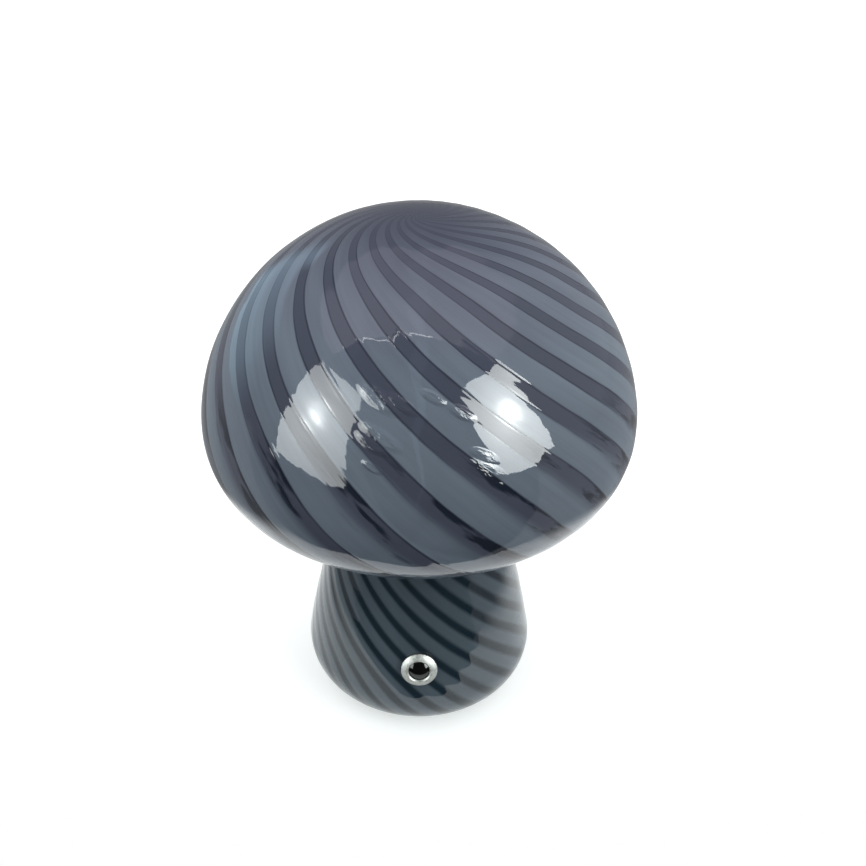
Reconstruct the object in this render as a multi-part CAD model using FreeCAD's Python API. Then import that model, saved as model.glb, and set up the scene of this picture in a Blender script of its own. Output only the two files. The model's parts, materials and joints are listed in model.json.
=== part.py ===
import FreeCAD, Part
import math
import os

# Cordless mushroom table lamp: one blown glass body, a push button in the front of its base, and a
# light module that is drawn in through the foot and clamped there by three swing-out dogs.
# Millimetres. The origin is the centre of the resting face, +Z is up and the push button faces -Y.

V = FreeCAD.Vector
UP = V(0, 0, 1)
ORIGIN = V(0, 0, 0)

# --- glass body, measured on its outer surface ---
CAP_RADIUS = 80.0
EQUATOR_HEIGHT = 127.8
CROWN_RISE = 75.5
SHOULDER_RADIUS = 55.0
LOWER_SHOULDER_RADIUS = 33.5
UNDERSIDE_RADIUS = 104.0
NECK_FILLET = 6.0
NECK_RADIUS = 34.0
NECK_HEIGHT = 76.5
FLANK_RADIUS = 500.0
BASE_RADIUS = 46.3
GLASS_WALL = 3.0
FOOT_OPENING_RADIUS = 27.0
FOOT_RIM_FLAT = 1.2

# --- foot: pad, plate and the gasket that grips the rim of the glass ---
PAD_PROUD = 1.0
PAD_GROOVE = 0.5
PAD_WIDTH = 5.0
PLATE_FLOOR = 1.5
GASKET_SKIN = 0.5
GASKET_REACH = 2.8
SPIGOT_WALL = 1.6
SPIGOT_HEIGHT = 8.0
FIT_GAP = 0.1

# --- swing-out dogs and the screws of the foot ---
DOG_COUNT = 3
DOG_WIDTH = 8.0
DOG_THICKNESS = 3.0
DOG_OVERLAP = 3.0
DOG_TAIL = 3.4
WINDOW_GAP = 0.3
SCREW_RADIUS = 1.5
SCREW_HEAD_RADIUS = 2.7
SCREW_HEAD_HEIGHT = 1.9
HEAD_RECESS = 2.1
BOSS_RADIUS = 3.8
BOSS_HEIGHT = 4.0
CHASSIS_SCREW_OFFSET = 16.0

# --- chassis, battery cell and control board ---
CELL_RADIUS = 9.2
CELL_LENGTH = 65.0
CELL_GAP = 0.3
CELL_CAP_RADIUS = 3.0
CELL_CAP_HEIGHT = 0.8
CELL_GROOVE_DEPTH = 0.5
CELL_GROOVE_WIDTH = 1.4
CELL_GROOVE_BELOW = 3.5
CHASSIS_WALL = 1.9
CHASSIS_FLOOR = 2.0
HEADROOM = 9.0
PLATFORM_THICKNESS = 2.5
VENT_WIDTH = 9.0
VENT_HEIGHT = 15.0
VENT_COUNT = 2
BOARD_OVERHANG = 1.6
BOARD_THICKNESS = 1.6
BOARD_CLEAR_OF_PLATE = 3.1
BOARD_BELOW_CELL_TOP = 2.4
BOARD_SCREW_RADIUS = 1.0
BOARD_BOSS_RADIUS = 2.4
BOARD_BOSS_DEPTH = 5.5
BOARD_SCREW_INSET = 3.6
BOARD_SCREW_EDGE = 8.0
CELL_PAD_WIDTH = 13.0
CELL_PAD_LENGTH = 38.0
CELL_PAD_SHARE = 0.64

# --- charging socket: a standard reversible connector ---
SOCKET_WIDTH = 8.94
SOCKET_THICKNESS = 3.2
SOCKET_LENGTH = 7.3
SOCKET_SHELL = 0.3
SOCKET_SLOT_GAP = 0.3
TONGUE_WIDTH = 6.7
TONGUE_THICKNESS = 0.7

# --- stem and light engine ---
STEM_RADIUS = 5.0
STEM_BORE = 3.6
STEM_LENGTH = 36.0
STEM_BELOW_PLATFORM = 3.5
STEM_NUT_FLATS = 13.0
STEM_NUT_HEIGHT = 3.0
SINK_RADIUS = 23.4
SINK_DISC = 2.5
SINK_BOSS_RADIUS = 8.0
SINK_BOSS_HEIGHT = 3.5
SINK_WIRE_HOLE = 3.0
STEM_IN_SINK = 4.0
FIN_COUNT = 16
FIN_THICKNESS = 1.2
FIN_DEPTH = 2.5
LED_BOARD_RADIUS = 20.0
LED_BOARD_THICKNESS = 1.6
LED_COUNT = 12
LED_SIZE = 3.0
LED_HEIGHT = 0.8
LED_RING_RADIUS = 15.0
LED_SCREW_RING = 9.0
LED_SCREW_COUNT = 3
LED_SCREW_RADIUS = 1.1
DIFFUSER_WALL = 1.6
DIFFUSER_SKIRT = 2.6
DIFFUSER_HEIGHT = 16.0
DIFFUSER_CHAMFER = 5.0

# --- push-button switch, measured along its own axis from the face of the glass ---
SWITCH_HEIGHT = 37.2
BARREL_RADIUS = 5.9
BARREL_DEPTH = 11.0
BARREL_HOLE_GAP = 0.15
FLANGE_RADIUS = 7.0
FLANGE_EDGE = 0.3
FLANGE_CROWN = 1.6
FLANGE_BULGE = 0.95
FLANGE_LIP = 0.5
SWITCH_SEAL = 0.45
BUTTON_RADIUS = 4.02
BUTTON_GAP = 0.08
BUTTON_DOME = 1.15
BUTTON_EDGE = 1.45
BUTTON_TRAVEL = 1.8
COLLAR_RADIUS = 4.85
COLLAR_THICKNESS = 1.2
COLLAR_STOP = 2.5
COUNTERBORE_RADIUS = 5.0
PLUNGER_RADIUS = 1.5
BLOCK_PLUG = 1.5
BLOCK_LENGTH = 6.0
BLOCK_WALL = 1.7
BLOCK_FRONT = 0.8
REAR_CAP = 2.0
BRIDGE_RADIUS = 3.6
BRIDGE_THICKNESS = 0.5
TERMINAL_OFFSET = 2.6
TERMINAL_WIDTH = 2.2
TERMINAL_THICKNESS = 0.6
TERMINAL_HEAD = 1.4
TERMINAL_TAIL = 4.0
INNER_WASHER = 1.2
INNER_WASHER_RADIUS = 7.5
SWITCH_NUT_FLATS = 14.0
SWITCH_NUT_HEIGHT = 2.2
SPRING_RADIUS = 3.1
SPRING_WIRE = 0.5
SPRING_TURNS = 4

# --- leads ---
LEAD_RADIUS = 0.6
LEAD_BEND = 3.0
LEAD_PAIR_GAP = 1.9
LEAD_EXIT = 3.8
CELL_LEAD_RISE = 1.8
LED_PAD_RADIUS = 6.0

# --- parts on the back of the control board ---
HEADER_WIDTH = 6.0
HEADER_DEPTH = 5.0
HEADER_HEIGHT = 5.0
LED_HEADER_X = -7.0
CELL_HEADER_X = 5.0
CHIP_WIDTH = 5.0
CHIP_THICKNESS = 1.0
COIL_RADIUS = 3.0
COIL_THICKNESS = 3.2
COIL_X = 6.0

# --- heights of the stack, bottom to top ---
PLATE_TOP = PAD_PROUD + PLATE_FLOOR
FOOT_HEIGHT = PLATE_TOP + GASKET_SKIN
BOSS_TOP = PAD_PROUD + BOSS_HEIGHT
DOG_BOTTOM = FOOT_HEIGHT + GLASS_WALL + GASKET_SKIN
CELL_BOTTOM = BOSS_TOP + CHASSIS_FLOOR
CELL_TOP = CELL_BOTTOM + CELL_LENGTH
PLATFORM_BOTTOM = CELL_TOP + HEADROOM
PLATFORM_TOP = PLATFORM_BOTTOM + PLATFORM_THICKNESS
STEM_BOTTOM = PLATFORM_BOTTOM - STEM_BELOW_PLATFORM
SINK_BOTTOM = STEM_BOTTOM + STEM_LENGTH - STEM_IN_SINK
SINK_FACE = SINK_BOTTOM + SINK_BOSS_HEIGHT
SINK_TOP = SINK_FACE + SINK_DISC
LED_FACE = SINK_TOP + LED_BOARD_THICKNESS

# --- radii and places that follow from the values above ---
SPIGOT_RADIUS = FOOT_OPENING_RADIUS - GASKET_SKIN - FIT_GAP
PLATE_RADIUS = FOOT_OPENING_RADIUS - GASKET_SKIN + GASKET_REACH + FOOT_RIM_FLAT
PAD_OUTER = PLATE_RADIUS - GASKET_SKIN
CLAMP_SCREW_RING = SPIGOT_RADIUS - SPIGOT_WALL / 2 - BOSS_RADIUS
CHASSIS_BORE = CELL_RADIUS + CELL_GAP
CHASSIS_RADIUS = CHASSIS_BORE + CHASSIS_WALL
# The pad takes its share of the depth that the cell, board, socket and dog leave free on the +Y side.
FREE_DEPTH = CLAMP_SCREW_RING - DOG_TAIL - SOCKET_THICKNESS - BOARD_THICKNESS - CELL_RADIUS
BOARD_FRONT = CELL_RADIUS + CELL_PAD_SHARE * FREE_DEPTH
BOARD_BACK = BOARD_FRONT + BOARD_THICKNESS
BOARD_BOTTOM = PLATE_TOP + BOARD_CLEAR_OF_PLATE
BOARD_TOP = CELL_TOP - BOARD_BELOW_CELL_TOP
BOARD_WIDTH = 2 * (CHASSIS_RADIUS + BOARD_OVERHANG)
BOARD_SCREW_X = BOARD_WIDTH / 2 - BOARD_SCREW_INSET
SOCKET_Y = BOARD_BACK + SOCKET_THICKNESS / 2
BLOCK_BACK = BARREL_DEPTH + BLOCK_LENGTH
BRIDGE_FRONT = BARREL_DEPTH + BLOCK_FRONT + SWITCH_SEAL
TERMINAL_FRONT = BRIDGE_FRONT + BRIDGE_THICKNESS + BUTTON_TRAVEL + FIT_GAP
TERMINAL_END = BLOCK_BACK + REAR_CAP + TERMINAL_TAIL


def at(radius, height):
    """A point of a half section: distance from the axis and height."""
    return V(radius, 0, height)


def toward(centre, other, distance):
    """The point at that distance from centre, on the way to other."""
    return centre + (other - centre).normalize() * distance


def crossing(centre_a, radius_a, centre_b, radius_b, outer):
    """Where two circles of a half section cross: the point farther from the axis if outer is true."""
    gap = centre_b - centre_a
    along = (gap.Length ** 2 + radius_a ** 2 - radius_b ** 2) / (2 * gap.Length)
    aside = math.sqrt(radius_a ** 2 - along ** 2)
    unit = gap.normalize()
    middle = centre_a + unit * along
    sideways = V(unit.z, 0, -unit.x) * aside
    pick = max if outer else min
    return pick(middle + sideways, middle - sideways, key=lambda point: point.x)


def line(start, end):
    return Part.LineSegment(start, end).toShape()


def arc_about(centre, start, end):
    """The shorter arc about centre from start to end."""
    radius = (start - centre).Length
    middle = toward(centre, centre + (start - centre).normalize() + (end - centre).normalize(), radius)
    return Part.Arc(start, middle, end).toShape()


def turned(edges):
    """The solid of revolution of a closed half section about the Z axis."""
    return Part.Face(Part.Wire(edges)).revolve(ORIGIN, UP, 360)


def turned_from(points):
    """The solid of revolution of a half section with straight sides, as (radius, height) pairs."""
    corners = [at(radius, height) for radius, height in points]
    return turned([line(a, b) for a, b in zip(corners, corners[1:] + corners[:1])])


def disc(radius, bottom, top, x=0.0, y=0.0):
    return Part.makeCylinder(radius, top - bottom, V(x, y, bottom))


def ring(inner, outer, bottom, top):
    return disc(outer, bottom, top).cut(disc(inner, bottom, top))


def block(x_range, y_range, z_range):
    sizes = [high - low for low, high in (x_range, y_range, z_range)]
    return Part.makeBox(*sizes, V(x_range[0], y_range[0], z_range[0]))


def hexagon_nut(flats, bore, bottom, height):
    corners = [V(flats / math.sqrt(3) * math.cos(math.radians(60 * i)),
                 flats / math.sqrt(3) * math.sin(math.radians(60 * i)), bottom) for i in range(6)]
    prism = Part.Face(Part.makePolygon(corners + corners[:1])).extrude(UP * height)
    return prism.cut(disc(bore, bottom, bottom + height))


def around(shape, count, first=0.0):
    """Copies of shape about the Z axis, the first one turned by that angle."""
    copies = []
    for i in range(count):
        copy = shape.copy()
        copy.rotate(ORIGIN, UP, first + 360.0 * i / count)
        copies.append(copy)
    return copies


def fused(shapes):
    return shapes[0].fuse(shapes[1:]).removeSplitter()


def pan_screw(radius, head_radius, head_height, seat, tip, x=0.0, y=0.0):
    """A pan-head screw that points up from its seat, with its chamfered head below."""
    chamfer = head_height / 2
    screw = turned_from([(0, tip), (radius, tip), (radius, seat), (head_radius, seat),
                         (head_radius, seat - head_height + chamfer),
                         (head_radius - chamfer, seat - head_height), (0, seat - head_height)])
    screw.translate(V(x, y, 0))
    return screw


def lead(points, radius):
    """A wire along straight runs joined by arcs, as large as the runs and LEAD_BEND allow."""
    edges = []
    start = points[0]
    for i in range(1, len(points) - 1):
        before = points[i - 1] - points[i]
        after = points[i + 1] - points[i]
        half_turn = (math.pi - before.getAngle(after)) / 2
        reach = min(0.45 * min(before.Length, after.Length), LEAD_BEND * math.tan(half_turn))
        arc_start = toward(points[i], points[i - 1], reach)
        arc_end = toward(points[i], points[i + 1], reach)
        bend = reach / math.tan(half_turn)
        inside = toward(points[i], (arc_start + arc_end) * 0.5, bend / math.cos(half_turn) - bend)
        edges += [line(start, arc_start), Part.Arc(arc_start, inside, arc_end).toShape()]
        start = arc_end
    edges.append(line(start, points[-1]))
    section = Part.Wire(Part.Circle(points[0], points[1] - points[0], radius).toShape())
    return Part.Wire(edges).makePipeShell([section], True, True)


def glass_arcs():
    """The arcs of the outer half section, from the crown to the foot: (centre, start, end, hollow)."""
    rise = CROWN_RISE - SHOULDER_RADIUS
    shoulder = at(CAP_RADIUS - SHOULDER_RADIUS, EQUATOR_HEIGHT)
    drop = (shoulder.x ** 2 - rise ** 2) / (2 * rise)
    crown = at(0, EQUATOR_HEIGHT - drop)
    lower = at(CAP_RADIUS - LOWER_SHOULDER_RADIUS, EQUATOR_HEIGHT)
    underside_lift = math.sqrt((UNDERSIDE_RADIUS - LOWER_SHOULDER_RADIUS) ** 2 - lower.x ** 2)
    underside = at(0, EQUATOR_HEIGHT + underside_lift)
    foot = at(FOOT_OPENING_RADIUS + FOOT_RIM_FLAT, FOOT_HEIGHT)
    corner_radius = BASE_RADIUS - foot.x
    corner = at(foot.x, foot.z + corner_radius)
    flank = crossing(corner, FLANK_RADIUS - corner_radius, at(NECK_RADIUS, NECK_HEIGHT), FLANK_RADIUS,
                     outer=False)
    neck = crossing(flank, FLANK_RADIUS + NECK_FILLET, underside, UNDERSIDE_RADIUS + NECK_FILLET,
                    outer=True)
    joints = [at(0, EQUATOR_HEIGHT + CROWN_RISE),
              toward(crown, shoulder, CROWN_RISE + drop),
              at(CAP_RADIUS, EQUATOR_HEIGHT),
              toward(underside, lower, UNDERSIDE_RADIUS),
              toward(underside, neck, UNDERSIDE_RADIUS),
              toward(flank, neck, FLANK_RADIUS),
              toward(flank, corner, FLANK_RADIUS),
              foot]
    centres = [crown, shoulder, lower, underside, neck, flank, corner]
    return [(centre, joints[i], joints[i + 1], centre is neck) for i, centre in enumerate(centres)]


def skin(depth):
    """The glass arcs again, at that depth under the outer surface, as a list of edges."""
    edges = []
    for centre, start, end, hollow in glass_arcs():
        radius = (start - centre).Length + (depth if hollow else -depth)
        edges.append(arc_about(centre, toward(centre, start, radius), toward(centre, end, radius)))
    return edges


def solid_inside(depth):
    """All that lies inside the glass surface at that depth, as one solid."""
    edges = skin(depth)
    top = at(0, EQUATOR_HEIGHT + CROWN_RISE - depth)
    foot = at(FOOT_OPENING_RADIUS + FOOT_RIM_FLAT, FOOT_HEIGHT + depth)
    return turned(edges + [line(foot, at(0, foot.z)), line(at(0, foot.z), top)])


def switch_seat():
    """Where the switch axis leaves the glass, and the direction it points in."""
    centre = glass_arcs()[5][0]
    height = SWITCH_HEIGHT - centre.z
    reach = math.sqrt(FLANK_RADIUS ** 2 - height ** 2)
    return V(0, -(centre.x + reach), SWITCH_HEIGHT), V(0, -reach, height).normalize()


def on_switch_axis(shape):
    """Moves a shape made about +Z from the origin to the seat of the switch."""
    seat, outward = switch_seat()
    moved = shape.copy()
    moved.Placement = FreeCAD.Placement(seat, FreeCAD.Rotation(UP, outward)).multiply(shape.Placement)
    return moved


def glass_body():
    outer = skin(0.0)
    inner = skin(GLASS_WALL)
    top = EQUATOR_HEIGHT + CROWN_RISE
    rim = FOOT_OPENING_RADIUS
    foot_end = rim + FOOT_RIM_FLAT
    closing = [line(at(foot_end, FOOT_HEIGHT), at(rim, FOOT_HEIGHT)),
               line(at(rim, FOOT_HEIGHT), at(rim, FOOT_HEIGHT + GLASS_WALL)),
               line(at(rim, FOOT_HEIGHT + GLASS_WALL), at(foot_end, FOOT_HEIGHT + GLASS_WALL)),
               line(at(0, top - GLASS_WALL), at(0, top))]
    hole = on_switch_axis(disc(BARREL_RADIUS + BARREL_HOLE_GAP, -3 * GLASS_WALL, GLASS_WALL))
    return turned(outer + closing[:3] + inner[::-1] + closing[3:]).cut(hole)


def foot_pad():
    return ring(PAD_OUTER - PAD_WIDTH, PAD_OUTER, 0, PAD_PROUD + PAD_GROOVE)


def foot_gasket():
    """A channel of silicone that wraps the rim of the glass: below, through the opening and above."""
    bore = FOOT_OPENING_RADIUS - GASKET_SKIN
    reach = bore + GASKET_REACH
    low, high = PLATE_TOP, DOG_BOTTOM
    return turned_from([(bore, low), (reach, low), (reach, low + GASKET_SKIN),
                        (FOOT_OPENING_RADIUS, low + GASKET_SKIN),
                        (FOOT_OPENING_RADIUS, high - GASKET_SKIN),
                        (FOOT_OPENING_RADIUS + FOOT_RIM_FLAT, high - GASKET_SKIN),
                        (FOOT_OPENING_RADIUS + FOOT_RIM_FLAT, high), (bore, high)])


def clamp_places():
    return [(CLAMP_SCREW_RING * math.cos(math.radians(90 + 360 * i / DOG_COUNT)),
             CLAMP_SCREW_RING * math.sin(math.radians(90 + 360 * i / DOG_COUNT)))
            for i in range(DOG_COUNT)]


def chassis_screw_places():
    return [(-CHASSIS_SCREW_OFFSET, 0.0), (CHASSIS_SCREW_OFFSET, 0.0)]


def socket_outline(grow, bottom, height):
    """The rounded slot shape of the charging socket, larger by grow on every side."""
    radius = SOCKET_THICKNESS / 2 + grow
    half = SOCKET_WIDTH / 2 + grow - radius
    middle = block((-half, half), (SOCKET_Y - radius, SOCKET_Y + radius), (bottom, bottom + height))
    ends = [disc(radius, bottom, bottom + height, x, SOCKET_Y) for x in (-half, half)]
    return fused([middle] + ends)


def base_plate():
    spigot_top = PLATE_TOP + SPIGOT_HEIGHT
    plate = turned_from([(0, PAD_PROUD), (PLATE_RADIUS - GASKET_SKIN, PAD_PROUD),
                         (PLATE_RADIUS, PAD_PROUD + GASKET_SKIN), (PLATE_RADIUS, PLATE_TOP),
                         (SPIGOT_RADIUS, PLATE_TOP), (SPIGOT_RADIUS, spigot_top),
                         (SPIGOT_RADIUS - SPIGOT_WALL, spigot_top),
                         (SPIGOT_RADIUS - SPIGOT_WALL, PLATE_TOP), (0, PLATE_TOP)])
    places = clamp_places() + chassis_screw_places()
    plate = fused([plate] + [disc(BOSS_RADIUS, PAD_PROUD, BOSS_TOP, x, y) for x, y in places])
    cuts = [ring(PAD_OUTER - PAD_WIDTH, PAD_OUTER, PAD_PROUD, PAD_PROUD + PAD_GROOVE),
            socket_outline(SOCKET_SLOT_GAP, PAD_PROUD, PLATE_FLOOR)]
    for x, y in places:
        cuts.append(disc(SCREW_HEAD_RADIUS + WINDOW_GAP, PAD_PROUD, PAD_PROUD + HEAD_RECESS, x, y))
        cuts.append(disc(SCREW_RADIUS + FIT_GAP, PAD_PROUD, BOSS_TOP, x, y))
    window = block((SPIGOT_RADIUS - 2 * SPIGOT_WALL, FOOT_OPENING_RADIUS),
                   (-DOG_WIDTH / 2 - WINDOW_GAP, DOG_WIDTH / 2 + WINDOW_GAP),
                   (DOG_BOTTOM - WINDOW_GAP, spigot_top + WINDOW_GAP))
    cuts += around(window, DOG_COUNT, 90)
    return plate.cut(cuts)


def clamp_dogs():
    """Three dogs that reach over the gasket and draw the plate up against the glass."""
    inner = CLAMP_SCREW_RING - DOG_TAIL
    outer = FOOT_OPENING_RADIUS + DOG_OVERLAP
    low, high = DOG_BOTTOM, DOG_BOTTOM + DOG_THICKNESS
    bar = block((inner, outer), (-DOG_WIDTH / 2, DOG_WIDTH / 2), (low, high))
    dog = bar.common(disc(outer, low, high)).cut(disc(SCREW_RADIUS, low, high, CLAMP_SCREW_RING))
    return around(dog, DOG_COUNT, 90)


def clamp_screws():
    seat = PAD_PROUD + HEAD_RECESS
    tip = DOG_BOTTOM + DOG_THICKNESS + SCREW_RADIUS
    return [pan_screw(SCREW_RADIUS, SCREW_HEAD_RADIUS, SCREW_HEAD_HEIGHT, seat, tip, x, y)
            for x, y in clamp_places()]


def chassis_screws():
    seat = PAD_PROUD + HEAD_RECESS
    return [pan_screw(SCREW_RADIUS, SCREW_HEAD_RADIUS, SCREW_HEAD_HEIGHT, seat, CELL_BOTTOM, x, y)
            for x, y in chassis_screw_places()]


def channel(radius, bottom, top):
    """A trough open to the back: a half round in front and straight sides behind."""
    trough = fused([disc(radius, bottom, top),
                    block((-radius, radius), (0, BOARD_FRONT), (bottom, top))])
    return trough.common(block((-2 * radius, 2 * radius), (-2 * radius, BOARD_FRONT), (bottom, top)))


def board_screw_places():
    return [(x, z) for x in (-BOARD_SCREW_X, BOARD_SCREW_X)
            for z in (BOARD_BOTTOM + BOARD_SCREW_EDGE, BOARD_TOP - BOARD_SCREW_EDGE)]


def along_y(radius, start, end, x, z):
    return Part.makeCylinder(radius, end - start, V(x, start, z), V(0, 1, 0))


def chassis():
    outside = channel(CHASSIS_RADIUS, BOSS_TOP, PLATFORM_TOP)
    hollow = channel(CHASSIS_BORE, CELL_BOTTOM, PLATFORM_BOTTOM)
    back = block((-CHASSIS_BORE, CHASSIS_BORE), (BOARD_FRONT - CHASSIS_WALL, 2 * BOARD_FRONT),
                 (CELL_BOTTOM, PLATFORM_BOTTOM))
    lug_plates = [block(tuple(sorted((0, x))), (-BOSS_RADIUS, BOSS_RADIUS), (BOSS_TOP, CELL_BOTTOM))
                  for x, _ in chassis_screw_places()]
    lugs = [disc(BOSS_RADIUS, BOSS_TOP, CELL_BOTTOM, x, y) for x, y in chassis_screw_places()]
    bosses = [along_y(BOARD_BOSS_RADIUS, BOARD_FRONT - BOARD_BOSS_DEPTH, BOARD_FRONT, x, z).cut(
              disc(CHASSIS_BORE, CELL_BOTTOM, PLATFORM_BOTTOM)) for x, z in board_screw_places()]
    body = fused([outside.cut([hollow, back])] + lug_plates + lugs + bosses)
    vent_step = CELL_LENGTH / (VENT_COUNT + 1)
    vents = [block((-2 * CHASSIS_RADIUS, 2 * CHASSIS_RADIUS), (-VENT_WIDTH / 2, VENT_WIDTH / 2),
                   (middle - VENT_HEIGHT / 2, middle + VENT_HEIGHT / 2))
             for middle in [CELL_BOTTOM + vent_step * (i + 1) for i in range(VENT_COUNT)]]
    holes = [disc(SCREW_RADIUS, BOSS_TOP, CELL_BOTTOM, x, y) for x, y in chassis_screw_places()]
    holes += [along_y(BOARD_SCREW_RADIUS, BOARD_FRONT - BOARD_BOSS_DEPTH, BOARD_FRONT, x, z)
              for x, z in board_screw_places()]
    holes.append(disc(STEM_RADIUS, PLATFORM_BOTTOM, PLATFORM_TOP))
    return body.cut(vents + holes)


def battery_cell():
    """A round cell with the rolled groove under its positive cap."""
    can_top = CELL_TOP - CELL_CAP_HEIGHT
    groove = can_top - CELL_GROOVE_BELOW
    waist = CELL_RADIUS - CELL_GROOVE_DEPTH
    return turned_from([(0, CELL_BOTTOM), (CELL_RADIUS, CELL_BOTTOM),
                        (CELL_RADIUS, groove - CELL_GROOVE_WIDTH / 2), (waist, groove),
                        (CELL_RADIUS, groove + CELL_GROOVE_WIDTH / 2), (CELL_RADIUS, can_top),
                        (CELL_CAP_RADIUS, can_top), (CELL_CAP_RADIUS, CELL_TOP), (0, CELL_TOP)])


def cell_pad():
    """Foam between the cell and the board, hollowed to the cell."""
    middle = (CELL_BOTTOM + CELL_TOP) / 2
    pad = block((-CELL_PAD_WIDTH / 2, CELL_PAD_WIDTH / 2), (CELL_RADIUS / 2, BOARD_FRONT),
                (middle - CELL_PAD_LENGTH / 2, middle + CELL_PAD_LENGTH / 2))
    return pad.cut(disc(CELL_RADIUS, CELL_BOTTOM, CELL_TOP))


def control_board():
    board = block((-BOARD_WIDTH / 2, BOARD_WIDTH / 2), (BOARD_FRONT, BOARD_BACK),
                  (BOARD_BOTTOM, BOARD_TOP))
    return board.cut([along_y(BOARD_SCREW_RADIUS, BOARD_FRONT, BOARD_BACK, x, z)
                      for x, z in board_screw_places()])


def header_top():
    """Height of the top faces of the two plug headers on the board."""
    return BOARD_TOP - 2 * BOARD_SCREW_EDGE + HEADER_HEIGHT


def board_parts():
    """The two plug headers, the charger and dimmer chips and the coil, on the back of the board."""
    parts = []
    for x in (LED_HEADER_X, CELL_HEADER_X):
        parts.append(block((x - HEADER_WIDTH / 2, x + HEADER_WIDTH / 2),
                           (BOARD_BACK, BOARD_BACK + HEADER_DEPTH),
                           (header_top() - HEADER_HEIGHT, header_top())))
    middle = (BOARD_BOTTOM + BOARD_TOP) / 2
    for z in (middle - 2 * CHIP_WIDTH, middle + CHIP_WIDTH):
        parts.append(block((-CHIP_WIDTH / 2, CHIP_WIDTH / 2), (BOARD_BACK, BOARD_BACK + CHIP_THICKNESS),
                           (z, z + CHIP_WIDTH)))
    parts.append(along_y(COIL_RADIUS, BOARD_BACK, BOARD_BACK + COIL_THICKNESS, COIL_X, middle))
    return parts


def board_screws():
    screws = []
    for x, z in board_screw_places():
        screw = pan_screw(BOARD_SCREW_RADIUS, 2 * BOARD_SCREW_RADIUS, BOARD_SCREW_RADIUS,
                          0, BOARD_THICKNESS + BOARD_BOSS_DEPTH)
        screw.rotate(ORIGIN, V(1, 0, 0), 90)
        screw.translate(V(x, BOARD_BACK, z))
        screws.append(screw)
    return screws


def charging_socket():
    """A metal shell with its mouth in the slot of the plate, and the contact tongue inside."""
    mouth = PAD_PROUD + FIT_GAP
    back_wall = 3 * SOCKET_SHELL
    shell = socket_outline(0.0, mouth, SOCKET_LENGTH)
    shell = shell.cut(socket_outline(-SOCKET_SHELL, mouth, SOCKET_LENGTH - back_wall))
    tongue = block((-TONGUE_WIDTH / 2, TONGUE_WIDTH / 2),
                   (SOCKET_Y - TONGUE_THICKNESS / 2, SOCKET_Y + TONGUE_THICKNESS / 2),
                   (mouth + back_wall, mouth + SOCKET_LENGTH - back_wall))
    return fused([shell, tongue])


def stem_tube():
    return ring(STEM_BORE, STEM_RADIUS, STEM_BOTTOM, STEM_BOTTOM + STEM_LENGTH)


def stem_nuts():
    bottoms = (PLATFORM_BOTTOM - STEM_NUT_HEIGHT, PLATFORM_TOP, SINK_BOTTOM - STEM_NUT_HEIGHT)
    return [hexagon_nut(STEM_NUT_FLATS, STEM_RADIUS, bottom, STEM_NUT_HEIGHT) for bottom in bottoms]


def led_screw_places():
    return [(LED_SCREW_RING * math.cos(math.radians(30 + 360 * i / LED_SCREW_COUNT)),
             LED_SCREW_RING * math.sin(math.radians(30 + 360 * i / LED_SCREW_COUNT)))
            for i in range(LED_SCREW_COUNT)]


def heat_sink():
    """A turned disc on a threaded boss, with radial fins below."""
    body = fused([disc(SINK_RADIUS, SINK_FACE, SINK_TOP),
                  disc(SINK_BOSS_RADIUS, SINK_BOTTOM, SINK_FACE)])
    fin = block((SINK_BOSS_RADIUS - FIN_THICKNESS, SINK_RADIUS - FIN_THICKNESS),
                (-FIN_THICKNESS / 2, FIN_THICKNESS / 2), (SINK_FACE - FIN_DEPTH, SINK_FACE))
    body = fused([body] + around(fin, FIN_COUNT))
    holes = [disc(STEM_RADIUS, SINK_BOTTOM, SINK_BOTTOM + STEM_IN_SINK),
             disc(SINK_WIRE_HOLE, SINK_BOTTOM, SINK_TOP)]
    holes += [disc(LED_SCREW_RADIUS, SINK_FACE, SINK_TOP, x, y) for x, y in led_screw_places()]
    return body.cut(holes)


def led_board():
    board = disc(LED_BOARD_RADIUS, SINK_TOP, LED_FACE)
    holes = [disc(SINK_WIRE_HOLE, SINK_TOP, LED_FACE)]
    holes += [disc(LED_SCREW_RADIUS + FIT_GAP, SINK_TOP, LED_FACE, x, y) for x, y in led_screw_places()]
    return board.cut(holes)


def led_chips():
    chip = block((LED_RING_RADIUS - LED_SIZE / 2, LED_RING_RADIUS + LED_SIZE / 2),
                 (-LED_SIZE / 2, LED_SIZE / 2), (LED_FACE, LED_FACE + LED_HEIGHT))
    return around(chip, LED_COUNT, 180 / LED_COUNT)


def led_board_screws():
    head_height = LED_SCREW_RADIUS
    screws = []
    for x, y in led_screw_places():
        screw = pan_screw(LED_SCREW_RADIUS, 2 * LED_SCREW_RADIUS, head_height,
                          0, LED_BOARD_THICKNESS + SINK_DISC)
        screw.rotate(ORIGIN, V(1, 0, 0), 180)
        screw.translate(V(x, y, LED_FACE))
        screws.append(screw)
    return screws


def diffuser():
    """An opal drum whose skirt slips over the heat sink and whose ledge rests on its face."""
    bore = SINK_RADIUS + FIT_GAP
    outer = bore + DIFFUSER_WALL
    inner = bore - DIFFUSER_WALL
    low, ledge = SINK_TOP - DIFFUSER_SKIRT, SINK_TOP
    top = ledge + DIFFUSER_HEIGHT
    slope = DIFFUSER_CHAMFER + DIFFUSER_WALL * (1 - math.sqrt(2))
    return turned_from([(bore, low), (outer, low), (outer, top - DIFFUSER_CHAMFER),
                        (outer - DIFFUSER_CHAMFER, top), (0, top), (0, top - DIFFUSER_WALL),
                        (outer - DIFFUSER_CHAMFER, top - DIFFUSER_WALL),
                        (inner, top - DIFFUSER_WALL - slope), (inner, ledge), (bore, ledge)])


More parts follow.
